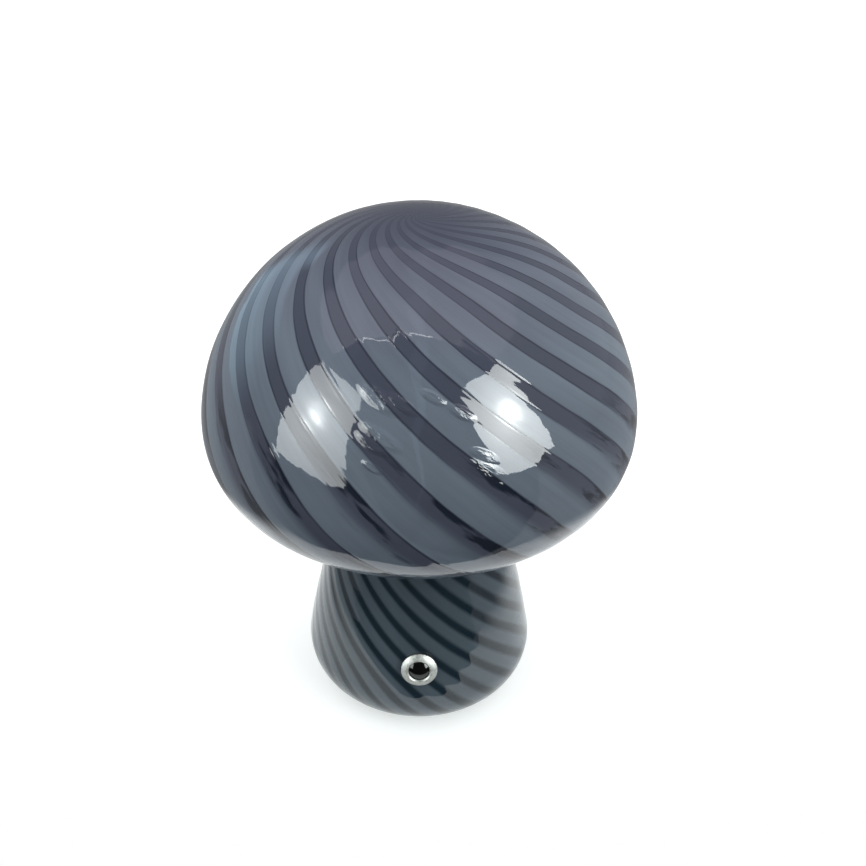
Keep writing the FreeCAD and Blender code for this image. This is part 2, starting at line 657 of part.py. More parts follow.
def switch_gasket():
    """A soft ring under the flange, hollowed to the curve of the glass."""
    collar = on_switch_axis(ring(BARREL_RADIUS, FLANGE_RADIUS, -GLASS_WALL, SWITCH_SEAL))
    return collar.cut(solid_inside(0.0))


def switch_washer():
    """A soft ring under the nut, shaped to the inner face of the glass."""
    collar = ring(BARREL_RADIUS, INNER_WASHER_RADIUS, -GLASS_WALL - INNER_WASHER, 0)
    return on_switch_axis(collar).common(solid_inside(GLASS_WALL))


def switch_nut():
    back = -GLASS_WALL - INNER_WASHER - SWITCH_NUT_HEIGHT
    return on_switch_axis(hexagon_nut(SWITCH_NUT_FLATS, BARREL_RADIUS, back, SWITCH_NUT_HEIGHT))


def switch_bezel():
    """The metal barrel and its crowned flange, with the step that keeps the button captive."""
    bore = BUTTON_RADIUS + BUTTON_GAP
    edge = SWITCH_SEAL + FLANGE_EDGE
    lip_top = SWITCH_SEAL + FLANGE_CROWN
    crown_middle = at((FLANGE_RADIUS + bore) / 2, SWITCH_SEAL + FLANGE_EDGE + FLANGE_BULGE)
    return on_switch_axis(turned([
        line(at(FLANGE_RADIUS, SWITCH_SEAL), at(FLANGE_RADIUS, edge)),
        Part.Arc(at(FLANGE_RADIUS, edge), crown_middle, at(bore + FLANGE_LIP, lip_top)).toShape(),
        line(at(bore + FLANGE_LIP, lip_top), at(bore, lip_top - FLANGE_LIP)),
        line(at(bore, lip_top - FLANGE_LIP), at(bore, -COLLAR_STOP)),
        line(at(bore, -COLLAR_STOP), at(COUNTERBORE_RADIUS, -COLLAR_STOP)),
        line(at(COUNTERBORE_RADIUS, -COLLAR_STOP), at(COUNTERBORE_RADIUS, -BARREL_DEPTH)),
        line(at(COUNTERBORE_RADIUS, -BARREL_DEPTH), at(BARREL_RADIUS, -BARREL_DEPTH)),
        line(at(BARREL_RADIUS, -BARREL_DEPTH), at(BARREL_RADIUS, SWITCH_SEAL)),
        line(at(BARREL_RADIUS, SWITCH_SEAL), at(FLANGE_RADIUS, SWITCH_SEAL))]))


def collar_front():
    return -COLLAR_STOP - FIT_GAP


def collar_back():
    return collar_front() - COLLAR_THICKNESS


def button_cap():
    """The domed button with the collar that holds it in, and the plunger behind."""
    dome_radius = (BUTTON_RADIUS ** 2 + BUTTON_DOME ** 2) / (2 * BUTTON_DOME)
    apex = BUTTON_EDGE + BUTTON_DOME
    tip = -BRIDGE_FRONT - 2 * BRIDGE_THICKNESS
    return on_switch_axis(turned([
        arc_about(at(0, apex - dome_radius), at(0, apex), at(BUTTON_RADIUS, BUTTON_EDGE)),
        line(at(BUTTON_RADIUS, BUTTON_EDGE), at(BUTTON_RADIUS, collar_front())),
        line(at(BUTTON_RADIUS, collar_front()), at(COLLAR_RADIUS, collar_front())),
        line(at(COLLAR_RADIUS, collar_front()), at(COLLAR_RADIUS, collar_back())),
        line(at(COLLAR_RADIUS, collar_back()), at(PLUNGER_RADIUS, collar_back())),
        line(at(PLUNGER_RADIUS, collar_back()), at(PLUNGER_RADIUS, tip)),
        line(at(PLUNGER_RADIUS, tip), at(0, tip)),
        line(at(0, tip), at(0, apex))]))


def contact_bridge():
    return on_switch_axis(ring(PLUNGER_RADIUS, BRIDGE_RADIUS, -BRIDGE_FRONT - BRIDGE_THICKNESS,
                               -BRIDGE_FRONT))


def contact_block():
    """The moulded housing that plugs into the barrel; the plunger passes through its front wall."""
    front = -BARREL_DEPTH + BLOCK_PLUG
    inside = BARREL_RADIUS - BLOCK_WALL
    wall_back = -BARREL_DEPTH - BLOCK_FRONT
    plunger_hole = PLUNGER_RADIUS + BUTTON_GAP
    return on_switch_axis(turned_from([
        (plunger_hole, front), (COUNTERBORE_RADIUS, front), (COUNTERBORE_RADIUS, -BARREL_DEPTH),
        (BARREL_RADIUS, -BARREL_DEPTH), (BARREL_RADIUS, -BLOCK_BACK), (inside, -BLOCK_BACK),
        (inside, wall_back), (plunger_hole, wall_back)]))


def terminal_blades():
    return [block((x - TERMINAL_THICKNESS / 2, x + TERMINAL_THICKNESS / 2),
                  (-TERMINAL_WIDTH / 2, TERMINAL_WIDTH / 2), (-TERMINAL_END, -TERMINAL_FRONT))
            for x in (-TERMINAL_OFFSET, TERMINAL_OFFSET)]


def switch_rear_cap():
    cap = disc(BARREL_RADIUS, -BLOCK_BACK - REAR_CAP, -BLOCK_BACK)
    return on_switch_axis(cap.cut(terminal_blades()))


def switch_terminals():
    """Two blades through the rear cap, each with a contact head in front."""
    terminals = []
    for blade, x in zip(terminal_blades(), (-TERMINAL_OFFSET, TERMINAL_OFFSET)):
        head = block((x - TERMINAL_HEAD / 2, x + TERMINAL_HEAD / 2),
                     (-TERMINAL_WIDTH / 2, TERMINAL_WIDTH / 2),
                     (-TERMINAL_FRONT - TERMINAL_THICKNESS, -TERMINAL_FRONT))
        terminals.append(on_switch_axis(fused([blade, head])))
    return terminals


def button_spring():
    """A compression spring of round wire between the button's collar and the contact block."""
    wire = SPRING_WIRE / 2
    top = collar_back() - wire - FIT_GAP / 2
    bottom = -BARREL_DEPTH + BLOCK_PLUG + wire + FIT_GAP / 2
    pitch = (top - bottom) / SPRING_TURNS
    arcs_per_turn = 4

    def on_helix(turns):
        angle = 2 * math.pi * turns
        return V(SPRING_RADIUS * math.cos(angle), SPRING_RADIUS * math.sin(angle), bottom + pitch * turns)

    edges = []
    for i in range(SPRING_TURNS * arcs_per_turn):
        start, end = i / arcs_per_turn, (i + 1) / arcs_per_turn
        edges.append(Part.Arc(on_helix(start), on_helix((start + end) / 2), on_helix(end)).toShape())
    along = edges[0].tangentAt(edges[0].FirstParameter)
    section = Part.Wire(Part.Circle(on_helix(0), along, wire).toShape())
    print("spring gap between turns %.2f mm" % (pitch - SPRING_WIRE))
    return on_switch_axis(Part.Wire(edges).makePipeShell([section], True, False))


def led_leads():
    """Two leads from their header over the cell, up the stem and out to the pads of the LED board."""
    turn = (CELL_TOP + STEM_BOTTOM) / 2 + LEAD_RADIUS
    header_y = BOARD_BACK + HEADER_DEPTH / 2
    pad_height = LED_FACE + LEAD_RADIUS
    leads = []
    for side in (-1, 1):
        x = LED_HEADER_X + side * LEAD_PAIR_GAP / 2
        rise = side * LEAD_PAIR_GAP / 2
        leads.append(lead([V(x, header_y, header_top()), V(x, header_y, turn), V(rise, 0, turn),
                           V(rise, 0, pad_height), V(side * LED_PAD_RADIUS, 0, pad_height)], LEAD_RADIUS))
    return leads


def battery_leads():
    """A lead from the cell's cap and one from the rim of its can, to their header on the board."""
    turn = CELL_TOP + CELL_LEAD_RISE
    header_y = BOARD_BACK + HEADER_DEPTH / 2
    cap_x, rim_x = [CELL_HEADER_X + side * LEAD_PAIR_GAP / 2 for side in (-1, 1)]
    cap_pad = V(CELL_CAP_RADIUS / 2, 0, CELL_TOP)
    rim_pad = V(rim_x, CELL_CAP_RADIUS, CELL_TOP - CELL_CAP_HEIGHT)
    return [lead([pad, V(pad.x, pad.y, turn), V(x, header_y, turn), V(x, header_y, header_top())],
                 LEAD_RADIUS) for pad, x in ((cap_pad, cap_x), (rim_pad, rim_x))]


def switch_leads():
    """A lead on each side, from the switch terminals round the chassis to the board's front face."""
    seat, outward = switch_seat()
    landing = CHASSIS_RADIUS + FIT_GAP + LEAD_RADIUS
    leads = []
    for side in (-1, 1):
        start = seat - outward * TERMINAL_END + V(side * TERMINAL_OFFSET, 0, 0)
        leave = start - outward * LEAD_EXIT
        beside = V(side * landing, -CHASSIS_RADIUS, leave.z)
        leads.append(lead([start, leave, beside, V(side * landing, BOARD_FRONT, leave.z)], LEAD_RADIUS))
    return leads


NODES = [glass_body, foot_pad, foot_gasket, base_plate, clamp_dogs, clamp_screws, chassis_screws,
         chassis, battery_cell, cell_pad, control_board, board_parts, board_screws, charging_socket,
         stem_tube, stem_nuts, heat_sink, led_board, led_chips, led_board_screws, diffuser,
         switch_gasket, switch_washer, switch_nut, switch_bezel, button_cap, button_spring,
         contact_bridge, contact_block, switch_rear_cap, switch_terminals, led_leads, battery_leads,
         switch_leads]

os.makedirs("parts", exist_ok=True)
for make in NODES:
    shape = make()
    if isinstance(shape, list):
        shape = Part.makeCompound(shape)
    shape.exportStep("parts/%s.step" % make.__name__)
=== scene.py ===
import json
import math
import bpy
import numpy as np
from mathutils import Matrix, Quaternion, Vector


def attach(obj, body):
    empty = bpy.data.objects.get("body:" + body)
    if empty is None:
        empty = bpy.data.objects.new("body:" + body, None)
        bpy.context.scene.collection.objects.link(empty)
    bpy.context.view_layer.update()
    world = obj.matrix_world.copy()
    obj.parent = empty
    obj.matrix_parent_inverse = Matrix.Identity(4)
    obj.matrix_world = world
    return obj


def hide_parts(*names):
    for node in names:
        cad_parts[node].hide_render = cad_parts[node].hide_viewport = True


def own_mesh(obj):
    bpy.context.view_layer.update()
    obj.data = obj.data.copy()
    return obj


# Cordless mushroom table lamp: swirl-striped cased glass over a battery light module, with a push
# button in a silver ring. Metres, +Z up, the origin on the floor under the middle of the lamp.

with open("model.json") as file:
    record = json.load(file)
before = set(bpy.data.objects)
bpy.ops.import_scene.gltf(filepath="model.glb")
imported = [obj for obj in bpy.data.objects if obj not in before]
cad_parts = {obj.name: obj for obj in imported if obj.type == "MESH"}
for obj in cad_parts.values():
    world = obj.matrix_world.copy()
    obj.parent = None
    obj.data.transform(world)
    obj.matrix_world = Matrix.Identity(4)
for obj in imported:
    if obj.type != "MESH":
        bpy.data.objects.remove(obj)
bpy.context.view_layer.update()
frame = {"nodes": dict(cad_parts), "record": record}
MM = 0.001

# --- camera, worked out from the outline of the lamp in the photograph ---
IMAGE_SIZE = 866
AXIS_PIXEL = (419.2, 458.0)
FOCAL_PIXELS = 1057.0
CAMERA_DISTANCE = 406.2 * MM
CAMERA_TILT = math.radians(33.3)
AIM_HEIGHT = 105.9 * MM
SENSOR_WIDTH = 36.0
CLIP_START = 0.01

# --- outer surface of the glass, as in the part's own source ---
CAP_RADIUS = 80.0
EQUATOR_HEIGHT = 127.8
CROWN_RISE = 75.5
SHOULDER_RADIUS = 55.0
LOWER_SHOULDER_RADIUS = 33.5
UNDERSIDE_RADIUS = 104.0
NECK_FILLET = 6.0
NECK_RADIUS = 34.0
NECK_HEIGHT = 76.5
FLANK_RADIUS = 500.0
BASE_RADIUS = 46.3
GLASS_WALL = 3.0
FOOT_OPENING_RADIUS = 27.0
FOOT_RIM_FLAT = 1.2
FOOT_HEIGHT = 3.0
SWITCH_HEIGHT = 37.2
SWITCH_HOLE_RADIUS = 6.05

# --- spring of the button, along the switch axis from the surface of the glass ---
SPRING_RADIUS = 3.1
SPRING_WIRE = 0.5
SPRING_TURNS = 4
SPRING_TOP = -4.1
SPRING_BOTTOM = -9.2
SPRING_STEPS = 20
WIRE_SIDES = 8

# --- mesh of the glass ---
STRIPES = 22
ROW_STEP = 1.3
INNER_ROW_STEP = 5.0
FEWEST_ROWS = 3  # to an arc of the outline
RIB_HEIGHT = 0.09
FLANK_ARC = 5  # its place among the arcs
OUTSIDE, INSIDE = 0, 1  # material slots
INNER_POLE = 2  # its place down the stripes, where the foot is 1
CROWDING_STEPS = 12  # rounds that settle the azimuth of a column
DRILL_SIDES = 96
DRILL_REACH = 3  # thicknesses of the wall to either side of the surface


def link_object(name, data):
    piece = bpy.data.objects.new(name, data)
    bpy.context.scene.collection.objects.link(piece)
    return piece


def place_camera():
    camera = link_object("camera", bpy.data.cameras.new("camera"))
    camera.location = (0, -CAMERA_DISTANCE * math.cos(CAMERA_TILT),
                       AIM_HEIGHT + CAMERA_DISTANCE * math.sin(CAMERA_TILT))
    camera.rotation_euler = (math.pi / 2 - CAMERA_TILT, 0, 0)
    camera.data.sensor_width = SENSOR_WIDTH
    camera.data.lens = FOCAL_PIXELS / IMAGE_SIZE * SENSOR_WIDTH
    camera.data.shift_x = (IMAGE_SIZE / 2 - AXIS_PIXEL[0]) / IMAGE_SIZE
    camera.data.shift_y = (AXIS_PIXEL[1] - IMAGE_SIZE / 2) / IMAGE_SIZE
    camera.data.clip_start = CLIP_START
    bpy.context.scene.camera = camera


# ---------------------------------------------------------------- outline of the glass

def toward(centre, other, distance):
    step = (other[0] - centre[0], other[1] - centre[1])
    scale = distance / math.hypot(*step)
    return centre[0] + step[0] * scale, centre[1] + step[1] * scale


def crossing(a, radius_a, b, radius_b, outer):
    gap = (b[0] - a[0], b[1] - a[1])
    length = math.hypot(*gap)
    along = (length ** 2 + radius_a ** 2 - radius_b ** 2) / (2 * length)
    aside = math.sqrt(radius_a ** 2 - along ** 2)
    ux, uz = gap[0] / length, gap[1] / length
    found = [(a[0] + ux * along + uz * side, a[1] + uz * along - ux * side) for side in (aside, -aside)]
    return max(found) if outer else min(found)


def glass_arcs():
    """The arcs of the outer half section from the crown to the foot: (centre, start, end, hollow)."""
    rise = CROWN_RISE - SHOULDER_RADIUS
    shoulder = (CAP_RADIUS - SHOULDER_RADIUS, EQUATOR_HEIGHT)
    drop = (shoulder[0] ** 2 - rise ** 2) / (2 * rise)
    crown = (0.0, EQUATOR_HEIGHT - drop)
    lower = (CAP_RADIUS - LOWER_SHOULDER_RADIUS, EQUATOR_HEIGHT)
    lift = math.sqrt((UNDERSIDE_RADIUS - LOWER_SHOULDER_RADIUS) ** 2 - lower[0] ** 2)
    underside = (0.0, EQUATOR_HEIGHT + lift)
    foot = (FOOT_OPENING_RADIUS + FOOT_RIM_FLAT, FOOT_HEIGHT)
    corner_radius = BASE_RADIUS - foot[0]
    corner = (foot[0], foot[1] + corner_radius)
    flank = crossing(corner, FLANK_RADIUS - corner_radius, (NECK_RADIUS, NECK_HEIGHT), FLANK_RADIUS, False)
    neck = crossing(flank, FLANK_RADIUS + NECK_FILLET, underside, UNDERSIDE_RADIUS + NECK_FILLET, True)
    joints = [(0.0, EQUATOR_HEIGHT + CROWN_RISE),
              toward(crown, shoulder, CROWN_RISE + drop),
              (CAP_RADIUS, EQUATOR_HEIGHT),
              toward(underside, lower, UNDERSIDE_RADIUS),
              toward(underside, neck, UNDERSIDE_RADIUS),
              toward(flank, neck, FLANK_RADIUS),
              toward(flank, corner, FLANK_RADIUS),
              foot]
    centres = [crown, shoulder, lower, underside, neck, flank, corner]
    return [(centre, joints[i], joints[i + 1], centre is neck) for i, centre in enumerate(centres)]


def outline(step, depth=0.0):
    """Points down the glass at that depth under its surface: radius, height, normal and arc length."""
    rows = []
    travelled = 0.0
    for centre, start, end, hollow in glass_arcs():
        radius = math.hypot(start[0] - centre[0], start[1] - centre[1])
        first = math.atan2(start[1] - centre[1], start[0] - centre[0])
        last = math.atan2(end[1] - centre[1], end[0] - centre[0])
        turn = (last - first + math.pi) % (2 * math.pi) - math.pi
        length = abs(turn) * radius
        count = max(FEWEST_ROWS, round(length / step))
        sign = -1.0 if hollow else 1.0
        reach = radius - sign * depth
        for i in range(count):
            angle = first + turn * i / count
            rows.append((centre[0] + reach * math.cos(angle), centre[1] + reach * math.sin(angle),
                         sign * math.cos(angle), sign * math.sin(angle),
                         travelled + length * i / count))
        travelled += length
    foot = glass_arcs()[-1][2]
    rows.append((foot[0], foot[1] + depth, 0.0, -1.0, travelled))
    return np.array(rows).T


# ---------------------------------------------------------------- swirl of the stripes

# Slope of the stripes (sideways travel per length down the glass), at lengths from the pole.
SLOPE_AT = (0.0, 30.0, 50.0, 90.0, 130.0, 186.0, 220.0, 280.0)
SLOPE = (0.60, 0.80, 0.88, 1.08, 1.08, 0.95, 1.02, 1.02)
# Nearer the axis than this, the slope is worked out as on this radius.
NARROWEST = 6.0
# Where one bright stripe lies: its length from the pole and its azimuth in degrees.
BRIGHT_AT = 74.8
BRIGHT_AZIMUTH = 32.9
# The hand-wound stripes are not even: at these lengths they run ahead by TRIM degrees, and crowd
# together on one side by SIDE and on the front or back by FRONT, as shares of the mean spacing.
UNEVEN_AT = (20.0, 40.0, 60.0, 80.0, 100.0, 115.0, 134.0, 203.0, 215.0, 227.0, 240.0, 250.0)
TRIM = (5.4, 4.8, 1.1, 0.0, -1.1, -3.1, -5.7, -6.9, -7.7, -7.2, -5.2, -3.3)
SIDE = (-0.265, -0.193, -0.109, -0.089, -0.079, -0.107, -0.109, 0.012, 0.059, 0.090, 0.122, 0.152)
FRONT = (-0.029, -0.093, -0.106, -0.110, -0.089, -0.100, -0.097, 0.119, 0.127, 0.135, 0.142, 0.147)
# Steps along the glass over which those are averaged.
BLUR = np.linspace(-9.0, 9.0, 7)
# Columns of the mesh across one stripe, as runs of (start, end, number) in shares of its width,
# closer together at the edges of the dark band.
COLUMN_RUNS = ((-0.27, 0.17, 8), (0.17, 0.29, 5), (0.29, 0.66, 5), (0.66, 0.73, 2))


def read_smoothly(travel, values):
    return np.mean([np.interp(travel + step, UNEVEN_AT, values) for step in BLUR], axis=0)


def swirl(travel, radius):
    """Azimuth that a stripe has turned through at each length down the glass, in radians."""
    slope = np.interp(travel, SLOPE_AT, SLOPE) / np.maximum(radius, NARROWEST)
    steps = (slope[1:] + slope[:-1]) / 2 * np.diff(travel)
    turned = np.concatenate([[0.0], np.cumsum(steps)])
    trim = np.radians(read_smoothly(travel, TRIM))
    return turned - np.interp(BRIGHT_AT, travel, turned) + math.radians(BRIGHT_AZIMUTH) + trim


def columns():
    """Places across all the stripes, in turns round the glass."""
    share = np.concatenate([np.linspace(*run, endpoint=False) for run in COLUMN_RUNS])
    return (np.arange(STRIPES)[:, None] + share[None, :] + 0.5).ravel() / STRIPES


# ---------------------------------------------------------------- mesh of the glass

# Small dents and rises of hand-blown glass, as (height in mm, turns round, waves down, phase), with
# the length that the waves are counted over.
DENTS = ((0.10, 2, 1.3, 0.4), (0.07, 3, 2.1, 2.0), (0.05, 5, 2.6, 4.1), (0.03, 7, 4.4, 1.1))
DENT_LENGTH = 100.0
# How far from the pole and from the foot the ribs and dents begin, and the length they fade in over.
RELIEF_FROM_POLE = (12.0, 30.0)
RELIEF_FROM_FOOT = (14.0, 20.0)


def relief(turn, travel, total, azimuth):
    """Depth of the surface under the plain outline, in millimetres: ribs and unevenness."""
    phase = (turn * STRIPES) % 1.0
    fade = (np.clip((travel - RELIEF_FROM_POLE[0]) / RELIEF_FROM_POLE[1], 0, 1)
            * np.clip((total - RELIEF_FROM_FOOT[0] - travel) / RELIEF_FROM_FOOT[1], 0, 1))
    rib = RIB_HEIGHT * (0.5 - 0.5 * np.cos(2 * np.pi * phase))
    wave = sum(height * (1 + np.sin(lobes * azimuth + down * 2 * np.pi * travel / DENT_LENGTH + start))
               for height, lobes, down, start in DENTS) / 2
    return fade * (rib + wave)


def ring_of(azimuth, radius, height):
    return np.stack([radius * np.sin(azimuth), -radius * np.cos(azimuth), height + 0 * azimuth], -1)


def glass_faces(turn, places, outer_rings):
    """Faces from the outer pole to the inner one, column by column, with the place of each corner on
    the stripes and the material slot of each face."""
    wide, rings = len(turn), len(places)
    edge = np.append(turn, turn[0] + 1)
    faces, uvs, slots = [], [], []
    for j in range(wide):
        k = (j + 1) % wide
        middle = (edge[j] + edge[j + 1]) / 2
        faces.append((0, 1 + j, 1 + k))
        uvs += [(middle, 0), (edge[j], places[0]), (edge[j + 1], places[0])]
        slots.append(OUTSIDE)
        for i in range(rings - 1):
            top, below = 1 + i * wide, 1 + (i + 1) * wide
            faces.append((top + j, below + j, below + k, top + k))
            uvs += [(edge[j], places[i]), (edge[j], places[i + 1]),
                    (edge[j + 1], places[i + 1]), (edge[j + 1], places[i])]
            slots.append(OUTSIDE if i < outer_rings - 1 else INSIDE)
        top = 1 + (rings - 1) * wide
        faces.append((top + j, 1 + rings * wide, top + k))
        uvs += [(edge[j], INNER_POLE), (middle, INNER_POLE), (edge[j + 1], INNER_POLE)]
        slots.append(INSIDE)
    return faces, uvs, slots


def glass_mesh():
    turn = columns()
    radius, height, normal_r, normal_z, travel = outline(ROW_STEP)
    total = travel[-1]
    twist = swirl(travel, radius)
    side, front = read_smoothly(travel, SIDE), read_smoothly(travel, FRONT)
    rings = []
    for i in range(1, len(travel)):
        plain = azimuth = 2 * np.pi * turn + twist[i]
        for _ in range(CROWDING_STEPS):
            azimuth = plain - side[i] * np.sin(azimuth) - front[i] * (np.cos(azimuth) - 1)
        depth = relief(turn, travel[i], total, azimuth)
        rings.append(ring_of(azimuth, radius[i] - normal_r[i] * depth,
                             height[i] - normal_z[i] * depth))
    outer_rings = len(rings)
    inner = outline(INNER_ROW_STEP, GLASS_WALL)
    rim = [(FOOT_OPENING_RADIUS, FOOT_HEIGHT), (FOOT_OPENING_RADIUS, FOOT_HEIGHT + GLASS_WALL)]
    rim += list(zip(inner[0][:0:-1], inner[1][:0:-1]))
    rings += [ring_of(azimuth, r, z) for r, z in rim]
    places = np.append(travel[1:], total + np.arange(len(rim))) / total
    points = np.concatenate([[[0, 0, height[0]]]] + rings + [[[0, 0, inner[1][0]]]]) * MM
    faces, uvs, slots = glass_faces(turn, places, outer_rings)
    mesh = bpy.data.meshes.new("striped_glass")
    mesh.from_pydata(points.tolist(), [], faces)
    layer = mesh.uv_layers.new(name="stripes")
    layer.data.foreach_set("uv", np.array(uvs, np.float32).ravel())
    mesh.polygons.foreach_set("material_index", np.array(slots, np.int32))
    mesh.polygons.foreach_set("use_smooth", np.ones(len(faces), bool))
    mesh.update()
    return mesh


def switch_axis():
    """The seat of the switch on the glass and its outward direction, in metres."""
    centre = glass_arcs()[FLANK_ARC][0]
    rise = SWITCH_HEIGHT - centre[1]
    reach = math.sqrt(FLANK_RADIUS ** 2 - rise ** 2)
    outward = Vector((0, -reach, rise)).normalized()
    return Vector((0, -(centre[0] + reach), SWITCH_HEIGHT)) * MM, outward


def tube_faces(rings, sides):
    """Faces of a closed tube whose points lie in rings, one after the other."""
    faces = []
    for i in range(rings - 1):
        a, b = i * sides, (i + 1) * sides
        for j in range(sides):
            k = (j + 1) % sides
            faces.append((a + j, a + k, b + k, b + j))
    return faces + [tuple(range(sides))[::-1], tuple(range((rings - 1) * sides, rings * sides))]


def apply_modifiers(piece):
    """Turns what the modifiers make into the piece's own mesh."""
    shown = piece.evaluated_get(bpy.context.evaluated_depsgraph_get())
    mesh = bpy.data.meshes.new_from_object(shown)
    piece.modifiers.clear()
    piece.data = mesh


def drill_for_switch(glass):
    seat, outward = switch_axis()
    across = Vector((1, 0, 0))
    upward = outward.cross(across)
    reach = DRILL_REACH * GLASS_WALL * MM
    points = []
    for end in (-reach, reach):
        for i in range(DRILL_SIDES):
            angle = 2 * math.pi * i / DRILL_SIDES
            points.append(seat + outward * end + SWITCH_HOLE_RADIUS * MM *
                          (across * math.cos(angle) + upward * math.sin(angle)))
    faces = tube_faces(2, DRILL_SIDES)
    mesh = bpy.data.meshes.new("switch_drill")
    mesh.from_pydata([tuple(p) for p in points], [], faces)
    for material in glass.data.materials:
        mesh.materials.append(material)
    mesh.polygons.foreach_set("material_index", np.full(len(faces), INSIDE, np.int32))
    drill = link_object("switch_drill", mesh)
    cut = glass.modifiers.new("hole", "BOOLEAN")
    cut.operation = "DIFFERENCE"
    cut.solver = "EXACT"
    cut.object = drill
    apply_modifiers(glass)
    bpy.data.objects.remove(drill)


# ---------------------------------------------------------------- shader helpers

def new_material(name):
    material = bpy.data.materials.new(name)
    material.use_nodes = True
    tree = material.node_tree
    tree.nodes.clear()
    shader = tree.nodes.new("ShaderNodeBsdfPrincipled")
    output = tree.nodes.new("ShaderNodeOutputMaterial")
    tree.links.new(shader.outputs["BSDF"], output.inputs["Surface"])
    return material, tree, shader


def feed(tree, socket, value):
    """Links a socket to another one, or sets its number or colour."""
    if isinstance(value, bpy.types.NodeSocket):
        tree.links.new(value, socket)
    else:
        socket.default_value = value


def add(tree, kind, inputs=(), **settings):
    node = tree.nodes.new(kind)
    for key, value in settings.items():
        setattr(node, key, value)
    for key, value in dict(inputs).items():
        feed(tree, node.inputs[key], value)
    return node


def calc(tree, operation, *values):
    node = add(tree, "ShaderNodeMath", operation=operation)
    for socket, value in zip(node.inputs, values):
        feed(tree, socket, value)
    return node.outputs[0]


def times(tree, first, second):
    return calc(tree, "MULTIPLY", first, second)


def rest_of(tree, share):
    return calc(tree, "SUBTRACT", 1.0, share)


def vector_math(tree, operation, *values):
    """The node that works out the operation on those vectors."""
    return add(tree, "ShaderNodeVectorMath", dict(enumerate(values)), operation=operation)


def ramp(tree, value, low, high, to_low=0.0, to_high=1.0):
    """A smooth step from to_low at low to to_high at high."""
    node = add(tree, "ShaderNodeMapRange", {"Value": value, "From Min": low, "From Max": high,
                                            "To Min": to_low, "To Max": to_high},
               interpolation_type="SMOOTHSTEP")
    return node.outputs[0]


def between(tree, value, rising, falling):
    """1 from the end of the rising span to the start of the falling one, and 0 outside both."""
    return times(tree, ramp(tree, value, *rising), ramp(tree, value, *falling, 1.0, 0.0))


def mix_level(tree, share, first, second):
    return add(tree, "ShaderNodeMix", {0: share, 2: first, 3: second}).outputs[0]


def blend_colour(tree, share, first, second, mode="MIX"):
    node = add(tree, "ShaderNodeMix", data_type="RGBA", blend_type=mode)
    feed(tree, node.inputs["Factor"], share)
    feed(tree, node.inputs[6], first)
    feed(tree, node.inputs[7], second)
    return node.outputs[2]


def grey_of(tree, level):
    return add(tree, "ShaderNodeCombineColor", {0: level, 1: level, 2: level}).outputs[0]


def noise(tree, vector, scale, detail=2.0, roughness=0.5, stretch=(1, 1, 1)):
    mapped = add(tree, "ShaderNodeMapping", {"Vector": vector, "Scale": stretch})
    node = add(tree, "ShaderNodeTexNoise", {"Vector": mapped.outputs[0], "Scale": scale,
                                            "Detail": detail, "Roughness": roughness})
    return node.outputs["Fac"]


def bump(tree, shader, height, strength, distance):
    node = add(tree, "ShaderNodeBump", {"Height": height, "Strength": strength, "Distance": distance})
    tree.links.new(node.outputs[0], shader.inputs["Normal"])


def place(tree):
    return add(tree, "ShaderNodeTexCoord").outputs["Object"]


# ---------------------------------------------------------------- glass material

UPPER_GLASS = (0.156, 0.178, 0.230, 1)
LIGHT_GLASS = (0.184, 0.229, 0.283, 1)
DARK_GLASS = (0.068, 0.077, 0.110, 1)
EDGE_GLASS = (0.022, 0.025, 0.042, 1)
CROWN_GLASS = (0.050, 0.054, 0.084, 1)
# The base's pale and dark stripes are darker than the cap's: painted shade under the overhanging cap.
BASE_PALE_IN_PAINTED_SHADE = (0.084, 0.116, 0.136, 1)
BASE_DARK_IN_PAINTED_SHADE = (0.008, 0.017, 0.025, 1)
DEEP_GLASS = (0.004, 0.008, 0.016, 1)
BAND_HALF = 0.19
BASE_BAND_HALF = 0.205

# Where down the glass its looks change, in shares of the outline from the pole to the foot.
TO_BASE = (0.62, 0.70)
LOW_CAP = (0.28, 0.44)
PALE_CHANGE = (0.17, 0.30)
CROWN_FADE = (0.01, 0.19)
EDGE_FADE = (0.03, 0.14)
DEEP_SPAN = ((0.31, 0.38), (0.50, 0.56))
SURFACE_FADE = (0.12, 0.26)
# How soft the edges of the dark bands are, in shares of the spacing of the stripes.
RIGHT_SOFTNESS = 0.018
LEFT_SOFTNESS = 0.020
LOW_LEFT_SOFTNESS = 0.170
BASE_SOFTNESS = 0.120
# Thin lines along the edges: how far inside the edge, half width and strength.
RIGHT_LINE = (0.010, 0.045, 1.0)
LEFT_LINE = (0.012, 0.040, 0.8)
WOBBLE = 0.16
# Noises that are wound with the glass: waves round, waves down, detail and roughness.
WAVER = (5.0, 7.0, 3.0, 0.6)
STRENGTH = (7.0, 9.0, 2.0, 0.5)
STREAKS = (26.0, 3.0, 4.0, 0.6)
CLOUD = (3.0, 5.0, 3.0, 0.55)
JAGS = (14.0, 17.0, 3.0, 0.5)
WAVES = (8.0, 26.0, 1.0, 0.4)
RIPPLES = (26.0, 34.0, 2.0, 0.5)
SEED_GRAIN = (22.0, 66.0, 3.0, 0.55)
# The span of a noise that is read, and what its ends stand for.
LINE_STRENGTH = (0.25, 0.65, 0.45, 1.0)
STREAK_SHARE = (0.3, 0.7, 0.0, 0.14)
CLOUD_SHARE = (0.3, 0.7, 0.0, 0.26)
RIPPLE_STRENGTH = (0.45, 0.62, 0.15, 1.0)
JAG_SPAN = (0.53, 0.64)
CROWN_SHARE = 0.92
EDGE_SHARE = (0.35, 0.90)
# Near-black patches: where inside the right edge they start and thin out, and how dark they are.
PATCH_EDGE = (-0.01, 0.02)
PATCH_REACH = (0.05, 0.36, 0.10, -0.02)
DEEP_SHARE = 0.9
